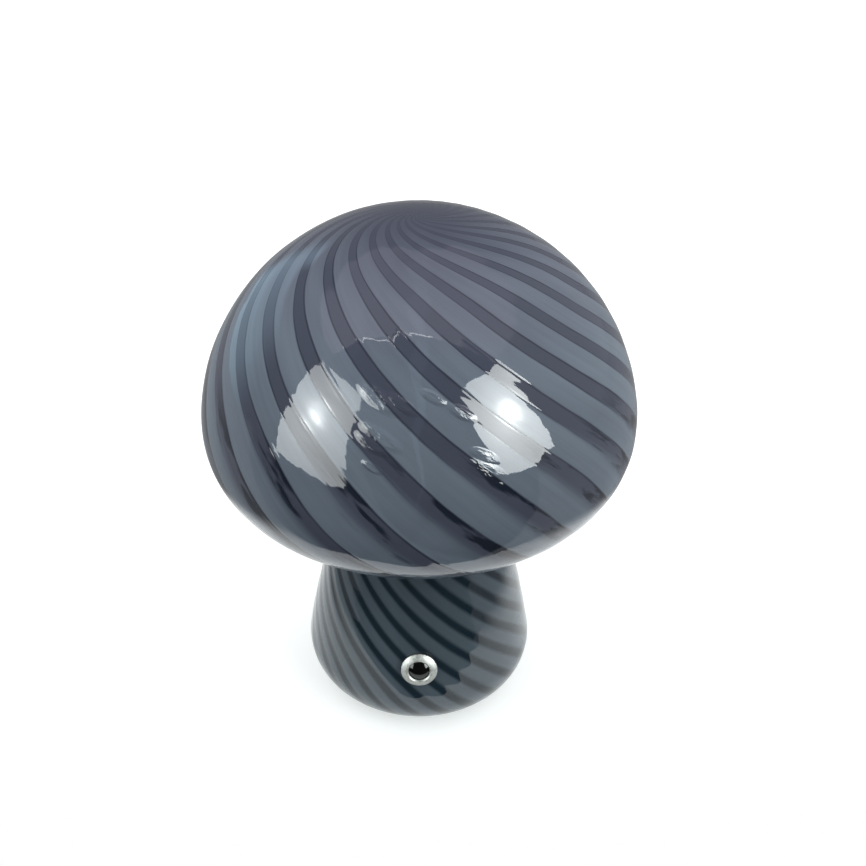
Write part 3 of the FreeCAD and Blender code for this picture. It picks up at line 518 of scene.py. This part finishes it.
# Relief: heights as shares of its depth in metres, with that of the ripples near the right edge and
# beyond, and how much of the relief is left on the crown and on the base.
WAVE_HEIGHT = 0.30
RIPPLE_HEIGHT = (0.02, 0.12, 0.30, 0.05)
GROOVE_HEIGHT = -0.05
CROWN_RELIEF = 0.10
BASE_RELIEF = 0.10
RELIEF_DEPTH = 0.0004
GLASS_ROUGHNESS = 0.03
GLASS_IOR = 1.52


# Rough patches where the winding of the canes has left seeds and folds in the surface: how far round
# and down the glass each one lies, in turns and as a share of the outline, and its reach.
SEEDS = ((0.877, 0.2745, 0.070), (0.889, 0.2775, 0.050), (0.8535, 0.3150, 0.060),
         (0.8440, 0.3230, 0.050), (0.8296, 0.3480, 0.030), (0.9215, 0.2880, 0.045),
         (0.9150, 0.2700, 0.040), (0.8940, 0.3530, 0.060), (0.9030, 0.3380, 0.045),
         (0.2300, 0.3100, 0.060), (0.3900, 0.3500, 0.060), (0.5600, 0.2900, 0.060))
# A share of the outline in radii of the circle that the turns lie on.
SEED_STRETCH = 3.74
# A patch is at full height within the first share of its reach and gone at the second.
SEED_FADE = (0.5, 1.1)
SEED_HEIGHT = 1.7


def wound_place(tree, angle, height):
    """A place on a circle of radius 1 at that angle, lifted by the height: noise joins up round it."""
    return add(tree, "ShaderNodeCombineXYZ", {"X": calc(tree, "COSINE", angle),
                                              "Y": calc(tree, "SINE", angle),
                                              "Z": height}).outputs[0]


def wound_noise(tree, along, waves_round, waves_down, detail, roughness):
    return noise(tree, along, 1.0, detail, roughness,
                 stretch=(waves_round, waves_round, waves_down))


def seed_patches(tree, angle, down):
    """How rough each place on the glass is, with 0 outside the patches."""
    here = wound_place(tree, angle, times(tree, down, SEED_STRETCH))
    share = 0.0
    for turn, drop, reach in SEEDS:
        centre = (math.cos(2 * math.pi * turn), math.sin(2 * math.pi * turn), drop * SEED_STRETCH)
        away = vector_math(tree, "DISTANCE", here, centre).outputs["Value"]
        patch = ramp(tree, away, reach * SEED_FADE[0], reach * SEED_FADE[1], SEED_HEIGHT, 0.0)
        share = calc(tree, "MAXIMUM", share, patch)
    return share


def stripe_edges(tree, turn, along, on_base):
    """How far each place lies inside the left and the right edge of a dark band, as shares of the
    spacing of the stripes."""
    waver = wound_noise(tree, along, *WAVER)
    wobble = times(tree, calc(tree, "SUBTRACT", waver, 0.5), WOBBLE)
    phase = calc(tree, "ADD", times(tree, turn, float(STRIPES)), wobble)
    offset = calc(tree, "SUBTRACT", calc(tree, "FRACT", phase), 0.5)
    half = mix_level(tree, on_base, BAND_HALF, BASE_BAND_HALF)
    return calc(tree, "ADD", offset, half), calc(tree, "SUBTRACT", half, offset)


def soft_edge(tree, inside, softness):
    return ramp(tree, inside, times(tree, softness, -1.0), softness)


def edge_line(tree, inside, middle, reach, strength):
    away = calc(tree, "ABSOLUTE", calc(tree, "SUBTRACT", inside, middle))
    return ramp(tree, away, 0.0, reach, strength, 0.0)


def deep_patches(tree, down, along, band, right):
    """Near-black patches with jagged outlines in the bands of the low cap."""
    inside = ramp(tree, right, *PATCH_EDGE)
    hollow = times(tree, inside, ramp(tree, right, *PATCH_REACH))
    jags = calc(tree, "ADD", wound_noise(tree, along, *JAGS), hollow)
    deep = times(tree, ramp(tree, jags, *JAG_SPAN), times(tree, band, inside))
    return times(tree, times(tree, deep, DEEP_SHARE), between(tree, down, *DEEP_SPAN))


def glass_colour(tree, down, along, on_base, band, lines, right):
    pale = blend_colour(tree, ramp(tree, down, *PALE_CHANGE), UPPER_GLASS, LIGHT_GLASS)
    # On the base the pale stripes turn darker: painted shade under the cap.
    pale = blend_colour(tree, on_base, pale, BASE_PALE_IN_PAINTED_SHADE)
    smoke = calc(tree, "ADD", ramp(tree, wound_noise(tree, along, *STREAKS), *STREAK_SHARE),
                 ramp(tree, wound_noise(tree, along, *CLOUD), *CLOUD_SHARE))
    light = blend_colour(tree, smoke, pale, DARK_GLASS)
    # The dark bands of the base carry the same painted shade.
    dark = blend_colour(tree, on_base, DARK_GLASS, BASE_DARK_IN_PAINTED_SHADE)
    crown = ramp(tree, down, *CROWN_FADE, 1.0, 0.0)
    light = blend_colour(tree, times(tree, crown, CROWN_SHARE), light, CROWN_GLASS)
    dark = blend_colour(tree, crown, dark, CROWN_GLASS)
    colour = blend_colour(tree, band, light, dark)
    edge_share = times(tree, lines, ramp(tree, down, *EDGE_FADE, *EDGE_SHARE))
    colour = blend_colour(tree, edge_share, colour, EDGE_GLASS)
    return blend_colour(tree, deep_patches(tree, down, along, band, right), colour, DEEP_GLASS)


def glass_height(tree, angle, down, along, on_base, right, edges, strength):
    """Fine relief: long waves, ripples by the right edge of the bands, rough patches and grooves."""
    waves = times(tree, wound_noise(tree, along, *WAVES), WAVE_HEIGHT)
    by_edge = ramp(tree, calc(tree, "ABSOLUTE", right), *RIPPLE_HEIGHT)
    ripples = times(tree, wound_noise(tree, along, *RIPPLES),
                    times(tree, by_edge, ramp(tree, strength, *RIPPLE_STRENGTH)))
    seeds = times(tree, wound_noise(tree, along, *SEED_GRAIN), seed_patches(tree, angle, down))
    height = calc(tree, "ADD", calc(tree, "ADD", waves, ripples), seeds)
    height = calc(tree, "ADD", height, times(tree, edges, GROOVE_HEIGHT))
    height = times(tree, height, ramp(tree, down, *SURFACE_FADE, CROWN_RELIEF, 1.0))
    return times(tree, height, mix_level(tree, on_base, 1.0, BASE_RELIEF))


def striped_glass_material():
    """Cased glass: dark canes wound round a paler bubble, crisp at their edges on the cap and soft on the
    base, with painted shade darkening the base, and a fine relief."""
    material, tree, shader = new_material("cased_glass")
    uv = add(tree, "ShaderNodeUVMap", uv_map="stripes").outputs[0]
    split = add(tree, "ShaderNodeSeparateXYZ", {"Vector": uv})
    turn, down = split.outputs[0], split.outputs[1]
    angle = times(tree, turn, 2 * math.pi)
    along = wound_place(tree, angle, down)
    on_base = ramp(tree, down, *TO_BASE)
    low_cap = ramp(tree, down, *LOW_CAP)
    left, right = stripe_edges(tree, turn, along, on_base)
    cap_softness = mix_level(tree, low_cap, LEFT_SOFTNESS, LOW_LEFT_SOFTNESS)
    left_softness = mix_level(tree, on_base, cap_softness, BASE_SOFTNESS)
    right_softness = mix_level(tree, on_base, RIGHT_SOFTNESS, BASE_SOFTNESS)
    band = times(tree, soft_edge(tree, left, left_softness), soft_edge(tree, right, right_softness))
    left_line = times(tree, edge_line(tree, left, *LEFT_LINE), rest_of(tree, low_cap))
    edges = calc(tree, "MAXIMUM", edge_line(tree, right, *RIGHT_LINE), left_line)
    strength = wound_noise(tree, along, *STRENGTH)
    lines = times(tree, edges, ramp(tree, strength, *LINE_STRENGTH))
    lines = times(tree, lines, rest_of(tree, on_base))
    colour = glass_colour(tree, down, along, on_base, band, lines, right)
    tree.links.new(colour, shader.inputs["Base Color"])
    shader.inputs["Roughness"].default_value = GLASS_ROUGHNESS
    shader.inputs["IOR"].default_value = GLASS_IOR
    height = glass_height(tree, angle, down, along, on_base, right, edges, strength)
    bump(tree, shader, height, 1.0, RELIEF_DEPTH)
    return material


LINING_LIGHT = (0.72, 0.74, 0.76, 1)
LINING_DARK = (0.62, 0.64, 0.66, 1)
LINING_CLOUDS = 60.0
LINING_ROUGHNESS = 0.18
LINING_BUMP = (0.1, 0.0002)


def glass_lining_material():
    material, tree, shader = new_material("glass_lining")
    cloud = noise(tree, place(tree), LINING_CLOUDS, 3.0)
    colour = blend_colour(tree, cloud, LINING_DARK, LINING_LIGHT)
    tree.links.new(colour, shader.inputs["Base Color"])
    shader.inputs["Roughness"].default_value = LINING_ROUGHNESS
    bump(tree, shader, cloud, *LINING_BUMP)
    return material


def make_glass():
    glass = link_object("striped_glass", glass_mesh())
    glass.data.materials.append(striped_glass_material())
    glass.data.materials.append(glass_lining_material())
    drill_for_switch(glass)
    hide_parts("glass_body")
    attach(glass, "root")


# ---------------------------------------------------------------- materials of the carried-over pieces

# Finishes of two near colours: first, second, roughness, scale of the grain and share of metal.
SPECKLED = {
    "soft_rubber": ((0.022, 0.022, 0.023, 1), (0.040, 0.040, 0.041, 1), 0.72, 2600, 0.0),
    "moulded_black": ((0.028, 0.028, 0.031, 1), (0.042, 0.042, 0.046, 1), 0.46, 4200, 0.0),
    "zinc_steel": ((0.56, 0.57, 0.56, 1), (0.68, 0.67, 0.62, 1), 0.34, 1900, 1.0),
    "cell_sleeve": ((0.060, 0.170, 0.330, 1), (0.085, 0.215, 0.400, 1), 0.30, 900, 0.0),
    "white_board": ((0.80, 0.80, 0.78, 1), (0.88, 0.88, 0.86, 1), 0.34, 1500, 0.0),
    "led_yellow": ((0.80, 0.62, 0.10, 1), (0.90, 0.74, 0.20, 1), 0.50, 3400, 0.0),
    "opal_plastic": ((0.80, 0.80, 0.78, 1), (0.87, 0.87, 0.85, 1), 0.40, 1400, 0.0),
    "spring_steel": ((0.46, 0.46, 0.45, 1), (0.58, 0.58, 0.56, 1), 0.28, 2800, 1.0),
    "contact_brass": ((0.70, 0.50, 0.20, 1), (0.80, 0.60, 0.28, 1), 0.30, 2200, 1.0),
    "lead_sleeve": ((0.420, 0.022, 0.016, 1), (0.520, 0.034, 0.024, 1), 0.42, 1800, 0.0),
}
CLOUD_PER_GRAIN = 0.12
SPECKLE_SPREAD = 0.08
SPECKLE_BUMP = (0.3, 0.00003)
# Turned metal: first and second colour, roughness and rings to the metre.
ALUMINIUM = ((0.70, 0.70, 0.71, 1), (0.78, 0.78, 0.79, 1), 0.32, 9000.0)
SILVER = ((0.27, 0.28, 0.27, 1), (0.40, 0.41, 0.39, 1), 0.50, 14000.0)
SMUDGE_SCALE = 900.0
SMUDGE_ROUGHNESS = (-0.02, 0.03)
GROOVE_SPREAD = 0.08
GROOVE_BUMP = (0.15, 0.00002)
# The circuit board: the mask in two tones, its tracks and its pads.
MASK_DARK = (0.010, 0.115, 0.045, 1)
MASK_LIGHT = (0.016, 0.150, 0.060, 1)
TRACK_COLOUR = (0.030, 0.230, 0.100, 1)
PAD_COLOUR = (0.62, 0.60, 0.55, 1)
TRACK_BRICKS = {"Scale": 240.0, "Mortar Size": 0.06, "Mortar Smooth": 0.3, "Brick Width": 1.3,
                "Row Height": 0.42, "Color1": (0, 0, 0, 1), "Color2": (0, 0, 0, 1),
                "Mortar": (1, 1, 1, 1)}
TRACK_SHARE = 0.6
TRACK_BUMP = (0.3, 0.00004)
MASK_CLOUDS = 120.0
PAD_SCALE = 330.0
PAD_EDGE = (0.16, 0.20)
BOARD_ROUGHNESS = (0.28, 0.40)
# The black button, with the faint haze of handling.
BUTTON_DARK = (0.002, 0.002, 0.002, 1)
BUTTON_HAZY = (0.005, 0.005, 0.005, 1)
HAZE_SCALE = 420.0
BUTTON_ROUGHNESS = (0.05, 0.11)
HAZE_BUMP = (0.05, 0.00002)


def speckled(name, first, second, roughness, grain, metal):
    """A finish of two near colours, with grain in its gloss and in its surface."""
    material, tree, shader = new_material(name)
    where = place(tree)
    cloud = noise(tree, where, grain * CLOUD_PER_GRAIN, 3.0, 0.55)
    fine = noise(tree, where, grain, 3.0, 0.6)
    tree.links.new(blend_colour(tree, ramp(tree, cloud, 0.3, 0.7), first, second),
                   shader.inputs["Base Color"])
    tree.links.new(ramp(tree, fine, 0.2, 0.8, roughness - SPECKLE_SPREAD / 2,
                        roughness + SPECKLE_SPREAD / 2), shader.inputs["Roughness"])
    shader.inputs["Metallic"].default_value = metal
    bump(tree, shader, fine, *SPECKLE_BUMP)
    return material


def turned_metal(name, first, second, roughness, rings, centre, axis):
    """Metal with the fine rings that a lathe leaves round an axis."""
    material, tree, shader = new_material(name)
    centre, axis = tuple(centre), tuple(axis)
    offset = vector_math(tree, "SUBTRACT", place(tree), centre).outputs[0]
    lift = vector_math(tree, "DOT_PRODUCT", offset, axis).outputs["Value"]
    along = add(tree, "ShaderNodeVectorMath", {0: axis, "Scale": lift}, operation="SCALE").outputs[0]
    flat = vector_math(tree, "SUBTRACT", offset, along).outputs[0]
    out = vector_math(tree, "LENGTH", flat).outputs["Value"]
    polar = add(tree, "ShaderNodeCombineXYZ", {"X": times(tree, out, rings), "Y": lift}).outputs[0]
    grooves = noise(tree, polar, 1.0, 3.0, 0.6)
    smudge = noise(tree, place(tree), SMUDGE_SCALE, 3.0, 0.6)
    tree.links.new(blend_colour(tree, ramp(tree, smudge, 0.3, 0.7), first, second),
                   shader.inputs["Base Color"])
    gloss = calc(tree, "ADD", ramp(tree, grooves, 0.2, 0.8, roughness - GROOVE_SPREAD / 2,
                                   roughness + GROOVE_SPREAD / 2),
                 ramp(tree, smudge, 0.3, 0.8, *SMUDGE_ROUGHNESS))
    tree.links.new(gloss, shader.inputs["Roughness"])
    shader.inputs["Metallic"].default_value = 1.0
    bump(tree, shader, grooves, *GROOVE_BUMP)
    return material


def board_material():
    """Green solder mask with its copper tracks and the pads between them."""
    material, tree, shader = new_material("circuit_board")
    where = place(tree)
    turned = add(tree, "ShaderNodeMapping", {"Vector": where, "Rotation": (math.pi / 2, 0, 0)})
    bricks = {"Vector": turned.outputs[0], **TRACK_BRICKS}
    tracks = add(tree, "ShaderNodeTexBrick", bricks).outputs["Color"]
    pads = add(tree, "ShaderNodeTexVoronoi", {"Vector": where, "Scale": PAD_SCALE})
    mask = blend_colour(tree, noise(tree, where, MASK_CLOUDS), MASK_DARK, MASK_LIGHT)
    mask = blend_colour(tree, times(tree, tracks, TRACK_SHARE), mask, TRACK_COLOUR)
    pad = ramp(tree, pads.outputs["Distance"], *PAD_EDGE, 1.0, 0.0)
    tree.links.new(blend_colour(tree, pad, mask, PAD_COLOUR), shader.inputs["Base Color"])
    tree.links.new(ramp(tree, pad, 0.0, 1.0, *BOARD_ROUGHNESS), shader.inputs["Roughness"])
    bump(tree, shader, tracks, *TRACK_BUMP)
    return material


def button_material():
    """Polished black plastic with the faint haze of handling."""
    material, tree, shader = new_material("gloss_black")
    haze = noise(tree, place(tree), HAZE_SCALE, 4.0, 0.6)
    tree.links.new(blend_colour(tree, ramp(tree, haze, 0.35, 0.8), BUTTON_DARK, BUTTON_HAZY),
                   shader.inputs["Base Color"])
    tree.links.new(ramp(tree, haze, 0.3, 0.8, *BUTTON_ROUGHNESS), shader.inputs["Roughness"])
    bump(tree, shader, haze, *HAZE_BUMP)
    return material


def slot_materials():
    """The finish of each material slot but that of the glass."""
    finishes = {name: speckled(name, *look) for name, look in SPECKLED.items()}
    finishes["circuit_board"] = board_material()
    finishes["gloss_black"] = button_material()
    finishes["raw_aluminium"] = turned_metal("raw_aluminium", *ALUMINIUM, (0, 0, 0), (0, 0, 1))
    finishes["satin_silver"] = turned_metal("satin_silver", *SILVER, *switch_axis())
    return finishes


def finish_carried_pieces(finishes):
    for row in frame["record"]["subparts"]:
        finish = finishes.get(row["material_slot"])
        if finish:
            mesh = frame["nodes"][row["node"]].data
            mesh.materials.clear()
            mesh.materials.append(finish)


# ---------------------------------------------------------------- spring of the button

def switch_place(across, upward, out):
    """A point in millimetres about the switch axis, in the frame of the lamp."""
    seat, outward = switch_axis()
    turn = Vector((0, 0, 1)).rotation_difference(outward)
    return seat + turn @ Vector((across, upward, out)) * MM


def make_button_spring(material):
    """The spring once more as a piece of its own, a wire wound round the switch axis. The real spring
    closes up as the button goes in.
    """
    wire = SPRING_WIRE / 2
    pitch = (SPRING_TOP - SPRING_BOTTOM) / SPRING_TURNS
    slope = pitch / (2 * math.pi * SPRING_RADIUS)
    tilt = math.hypot(1.0, slope)
    rings = SPRING_TURNS * SPRING_STEPS + 1
    points = []
    for i in range(rings):
        angle = 2 * math.pi * i / SPRING_STEPS
        outward = Vector((math.cos(angle), math.sin(angle), 0))
        rise = Vector((math.sin(angle) * slope, -math.cos(angle) * slope, 1)) / tilt
        centre = outward * SPRING_RADIUS + Vector((0, 0, SPRING_BOTTOM + pitch * i / SPRING_STEPS))
        for j in range(WIRE_SIDES):
            section = 2 * math.pi * j / WIRE_SIDES
            aside = outward * math.cos(section) + rise * math.sin(section)
            points.append(tuple(switch_place(*(centre + aside * wire))))
    faces = tube_faces(rings, WIRE_SIDES)
    mesh = bpy.data.meshes.new("button_spring_wire")
    mesh.from_pydata(points, [], faces)
    mesh.polygons.foreach_set("use_smooth", np.array([len(face) == 4 for face in faces]))
    mesh.materials.append(material)
    spring = link_object("button_spring_wire", mesh)
    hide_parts("button_spring")
    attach(spring, "root")
    switch_place(0, 0, SPRING_BOTTOM - wire)
    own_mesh(spring)


# ---------------------------------------------------------------- light, surroundings and floor

# Directions are in degrees as seen from the lamp.
LAMP_MIDDLE = Vector((0, 0, 0.12))
PANEL_DISTANCE = 2.0
# The two upright soft boxes: name, left and right edge, low and high edge, lean, hot core (round and
# up) and brightness.
PANELS = (("left", -73.0, -35.0, -5.0, 41.0, 0.0, (-56.0, 21.0), 6.3),
          ("right", 31.5, 64.0, -1.0, 45.5, 8.0, (50.0, 25.0), 10.2))
PANEL_COLOUR = (0.95, 1.0, 0.99)
# Level of a soft box over its face: even, with a wide and a narrow glow added round the core. The
# narrow one spreads over CORE_SPREAD degrees, and the wide one falls off at WIDE_FALL of its rate.
EVEN_GAIN = 0.62
WIDE_GAIN = 0.50
CORE_GAIN = 2.2
CORE_SPREAD = 5.4
WIDE_FALL = 0.08
# What matt surfaces see of the soft boxes.
SOFT_SHARE = 0.30
# A thin bright edge over the dark opening, as points, with its width in metres and brightness.
BRIGHT_EDGE = ((-66.0, 57.0), (-45.0, 66.5), (-20.0, 71.5), (22.0, 71.0))
EDGE_WIDTH = 0.024
EDGE_RADIANCE = 4.5
# Watts to the square metre for each unit of brightness of an area light.
POWER_PER_RADIANCE = 4


def toward_studio(azimuth, elevation):
    """A direction from the lamp in degrees: azimuth 0 is the front, and more is to the right."""
    turn, rise = math.radians(azimuth), math.radians(elevation)
    return Vector((math.sin(turn) * math.cos(rise), -math.cos(turn) * math.cos(rise), math.sin(rise)))


def tangent(degrees):
    return math.tan(math.radians(degrees))


def area_light(name, width, height, radiance):
    """A rectangular light that the camera doesn't see."""
    data = bpy.data.lights.new(name, "AREA")
    data.shape = "RECTANGLE"
    data.size, data.size_y = width, height
    data.energy = radiance * POWER_PER_RADIANCE * data.size * data.size_y
    light = link_object(name, data)
    light.visible_camera = False
    return light


def shine_by_place(data, core):
    """Makes the area light brighter round its core, given in metres from its middle."""
    data.use_nodes = True
    tree = data.node_tree
    tree.nodes.clear()
    split = add(tree, "ShaderNodeSeparateXYZ",
                {"Vector": add(tree, "ShaderNodeNewGeometry").outputs["Parametric"]})
    x = calc(tree, "SUBTRACT", times(tree, split.outputs[0], data.size), core[0] + data.size / 2)
    y = calc(tree, "SUBTRACT", times(tree, split.outputs[1], data.size_y), core[1] + data.size_y / 2)
    spread = PANEL_DISTANCE * tangent(CORE_SPREAD)
    squared = calc(tree, "ADD", times(tree, x, x), times(tree, y, y))
    glow = calc(tree, "EXPONENT", times(tree, squared, -1.0 / spread ** 2))
    wide = calc(tree, "EXPONENT", times(tree, squared, -WIDE_FALL / spread ** 2))
    level = calc(tree, "ADD", calc(tree, "ADD", times(tree, glow, CORE_GAIN),
                                   times(tree, wide, WIDE_GAIN)), EVEN_GAIN)
    emission = add(tree, "ShaderNodeEmission", {"Color": (*PANEL_COLOUR, 1), "Strength": level})
    output = add(tree, "ShaderNodeOutputLight")
    tree.links.new(emission.outputs[0], output.inputs["Surface"])


def upright_panel(name, width, height, azimuth, lift, lean, radiance):
    """An upright area light that faces the lamp."""
    light = area_light(name, width, height, radiance)
    outward = toward_studio(azimuth, 0)
    light.location = LAMP_MIDDLE + outward * PANEL_DISTANCE + Vector((0, 0, lift))
    turn = outward.to_track_quat("Z", "Y") @ Quaternion((0, 0, 1), math.radians(lean))
    light.rotation_euler = turn.to_euler()
    return light


def bright_edge():
    """Thin lights end to end, which only shiny surfaces see."""
    points = [LAMP_MIDDLE + toward_studio(*point) * PANEL_DISTANCE for point in BRIGHT_EDGE]
    for number, (start, end) in enumerate(zip(points, points[1:])):
        light = area_light("edge_%d" % number, (end - start).length, EDGE_WIDTH, EDGE_RADIANCE)
        light.location = (start + end) / 2
        outward = (light.location - LAMP_MIDDLE).normalized()
        along = (end - start).normalized()
        turn = Matrix((along, outward.cross(along), outward)).transposed()
        light.rotation_euler = turn.to_euler()
        light.visible_diffuse = False


def make_lights():
    for side, left, right, low, high, lean, core, radiance in PANELS:
        middle = (left + right) / 2
        lift = PANEL_DISTANCE * (tangent(high) + tangent(low)) / 2
        width = 2 * PANEL_DISTANCE * tangent((right - left) / 2)
        height = PANEL_DISTANCE * (tangent(high) - tangent(low))
        face = (width, height, middle, lift, lean)
        shown = upright_panel("window_" + side, *face, radiance)
        shown.visible_diffuse = False
        shine_by_place(shown.data, (PANEL_DISTANCE * tangent(core[0] - middle),
                                    PANEL_DISTANCE * tangent(core[1]) - lift))
        soft = upright_panel("soft_" + side, *face, radiance * SOFT_SHARE)
        soft.data.color = PANEL_COLOUR
        soft.visible_glossy = False
    bright_edge()


# The room that shiny surfaces see: its levels and tints, and the angles between which they change.
FRONT_LEVEL = 0.04
BACK_LEVEL = 0.22
RIGHT_LEVEL = 0.36
LEFT_LEVEL = 0.10
OVERHEAD_LEVEL = 0.60
ZENITH_LEVEL = 0.80
RIM_LEVEL = 1.0
SKY_COLOUR = (0.60, 0.84, 1.0, 1)
CEILING_TINT = (0.97, 0.88, 0.99, 1)
LEFT_TO_RIGHT = (-20.0, 20.0)
BEHIND = (136.0, 150.0)
CEILING_EDGE = (54.5, 57.5)
# The ceiling's edge comes down by this much for each squared degree from straight behind, to a limit.
CEILING_BOW = 0.0245
CEILING_DROP = 8.0
# From the level over the back to that over the front, by how far a direction points to the front.
TO_ZENITH = (-0.45, 0.10)
WINDOW_TURN = ((-158.0, -148.0), (-122.0, -92.0))
WINDOW_RISE = ((-45.0, -5.0), (24.0, 29.0))
# The dark opening in front: a rounded rectangle, its middle and half size, and shares of its reach.
OPENING_MIDDLE = (-6.0, 12.0)
OPENING_HALF = (65.0, 61.0)
OPENING_POWER = 4.0
OPENING_EDGE = (0.94, 1.02)
RIM_REACH = ((0.93, 0.99), (0.99, 1.05))
RIM_RISE = (52.0, 60.0)
# The even soft light that everything else sees, with more at the sides and a little less in front.
FILL_RISE = (-6.0, 64.0)
FILL_HIGH = 1.22
BESIDE_TURN = ((60.0, 90.0), (120.0, 160.0))
BESIDE_RISE = (20.0, 60.0)
FILL_BESIDE = 0.80
FILL_REACH = (0.6, 1.2)
FILL_OPENING = 0.98
WHITE = (1, 1, 1, 1)


def opening_reach(tree, turn, rise):
    """How far each direction lies from the middle of the dark opening, where its edge is 1."""
    across = calc(tree, "DIVIDE", calc(tree, "SUBTRACT", turn, OPENING_MIDDLE[0]), OPENING_HALF[0])
    up = calc(tree, "DIVIDE", calc(tree, "SUBTRACT", rise, OPENING_MIDDLE[1]), OPENING_HALF[1])
    return calc(tree, "ADD", calc(tree, "POWER", calc(tree, "ABSOLUTE", across), OPENING_POWER),
                calc(tree, "POWER", calc(tree, "MAXIMUM", up, 0.0), OPENING_POWER))


def mirrored_room(tree, turn, rise, side, frontward, reach):
    """A dim room with a pale ceiling, a window at the back left and a dark opening in front."""
    behind = ramp(tree, side, *BEHIND)
    right = mix_level(tree, behind, RIGHT_LEVEL, BACK_LEVEL)
    left = mix_level(tree, behind, LEFT_LEVEL, BACK_LEVEL)
    level = mix_level(tree, ramp(tree, turn, *LEFT_TO_RIGHT), left, right)
    aside = calc(tree, "SUBTRACT", 180.0, side)
    bow = times(tree, times(tree, aside, aside), CEILING_BOW)
    drop = calc(tree, "MINIMUM", bow, CEILING_DROP)
    ceiling = ramp(tree, calc(tree, "ADD", rise, drop), *CEILING_EDGE)
    overhead = ramp(tree, frontward, *TO_ZENITH, OVERHEAD_LEVEL, ZENITH_LEVEL)
    level = mix_level(tree, ceiling, level, overhead)
    level = mix_level(tree, ramp(tree, reach, *OPENING_EDGE, 1.0, 0.0), level, FRONT_LEVEL)
    rim = times(tree, between(tree, reach, *RIM_REACH), ramp(tree, rise, *RIM_RISE))
    level = mix_level(tree, rim, level, RIM_LEVEL)
    room = blend_colour(tree, ceiling, grey_of(tree, level), CEILING_TINT, "MULTIPLY")
    window = times(tree, between(tree, turn, *WINDOW_TURN), between(tree, rise, *WINDOW_RISE))
    return blend_colour(tree, window, room, SKY_COLOUR)


def soft_fill(tree, rise, side, reach):
    """The level of the light from each direction on matt surfaces."""
    fill = ramp(tree, rise, *FILL_RISE, 0.0, FILL_HIGH)
    beside = times(tree, between(tree, side, *BESIDE_TURN), ramp(tree, rise, *BESIDE_RISE, 1.0, 0.0))
    fill = calc(tree, "ADD", fill, times(tree, beside, FILL_BESIDE))
    return times(tree, fill, ramp(tree, reach, *FILL_REACH, FILL_OPENING, 1.0))


def make_world():
    """White to the camera, a room to shiny surfaces, and an even soft light to everything else."""
    world = bpy.data.worlds.new("studio")
    bpy.context.scene.world = world
    world.use_nodes = True
    tree = world.node_tree
    tree.nodes.clear()
    split = add(tree, "ShaderNodeSeparateXYZ",
                {"Vector": add(tree, "ShaderNodeTexCoord").outputs["Generated"]})
    x, y, z = split.outputs[0], split.outputs[1], split.outputs[2]
    degree = math.degrees(1.0)
    frontward = times(tree, y, -1.0)
    rise = times(tree, calc(tree, "ARCSINE", z), degree)
    turn = times(tree, calc(tree, "ARCTAN2", x, frontward), degree)
    side = calc(tree, "ABSOLUTE", turn)
    reach = opening_reach(tree, turn, rise)
    path = add(tree, "ShaderNodeLightPath")
    shiny = calc(tree, "MAXIMUM", path.outputs["Is Glossy Ray"], path.outputs["Is Transmission Ray"])
    seen = blend_colour(tree, shiny, grey_of(tree, soft_fill(tree, rise, side, reach)),
                        mirrored_room(tree, turn, rise, side, frontward, reach))
    seen = blend_colour(tree, path.outputs["Is Camera Ray"], seen, WHITE)
    background = add(tree, "ShaderNodeBackground", {"Color": seen})
    output = add(tree, "ShaderNodeOutputWorld")
    tree.links.new(background.outputs[0], output.inputs["Surface"])


FLOOR_COLOUR = (0.80, 0.80, 0.80, 1)
FAR_FLOOR = (0.26, 0.26, 0.26, 1)
FLOOR_FADE = (0.12, 0.18)
FLOOR_ROUGHNESS = 0.9
FLOOR_LIFT = 0.45
MIRRORED_LIFT = 0.45
FLOOR_REACH = 4.0
# The front edge of the sheet from its middle to the right; the left is its mirror image.
FLOOR_FRONT = ((0.0, -0.092), (0.05, -0.096), (0.09, -0.092), (0.13, -0.080), (FLOOR_REACH, -0.070))


def make_floor():
    """A plain pale sheet that the glass mirrors brightly near the lamp and dimly farther off. It ends
    a little in front of the lamp, in the camera's view but white against white, because the glass
    mirrors a dark room in front of it."""
    mesh = bpy.data.meshes.new("floor")
    front = [(-x, y, 0) for x, y in FLOOR_FRONT[:0:-1]] + [(x, y, 0) for x, y in FLOOR_FRONT]
    mesh.from_pydata(front + [(FLOOR_REACH, FLOOR_REACH, 0), (-FLOOR_REACH, FLOOR_REACH, 0)], [],
                     [tuple(range(len(front) + 2))])
    floor = link_object("floor", mesh)
    material, tree, shader = new_material("pale_floor")
    shader.inputs["Roughness"].default_value = FLOOR_ROUGHNESS
    shader.inputs["Specular IOR Level"].default_value = 0.0
    path = add(tree, "ShaderNodeLightPath")
    mirrored = path.outputs["Is Glossy Ray"]
    out = vector_math(tree, "LENGTH", place(tree)).outputs["Value"]
    far = ramp(tree, out, *FLOOR_FADE)
    colour = blend_colour(tree, times(tree, mirrored, far), FLOOR_COLOUR, FAR_FLOOR)
    tree.links.new(colour, shader.inputs["Base Color"])
    near = times(tree, mirrored, rest_of(tree, far))
    lift = calc(tree, "ADD", times(tree, path.outputs["Is Camera Ray"], FLOOR_LIFT),
                times(tree, near, MIRRORED_LIFT))
    shader.inputs["Emission Color"].default_value = PANEL_COLOUR + (1,)
    tree.links.new(lift, shader.inputs["Emission Strength"])
    mesh.materials.append(material)


place_camera()
make_glass()
finishes = slot_materials()
finish_carried_pieces(finishes)
make_button_spring(finishes["spring_steel"])
make_lights()
make_world()
make_floor()
bpy.context.scene.view_settings.view_transform = "Standard"
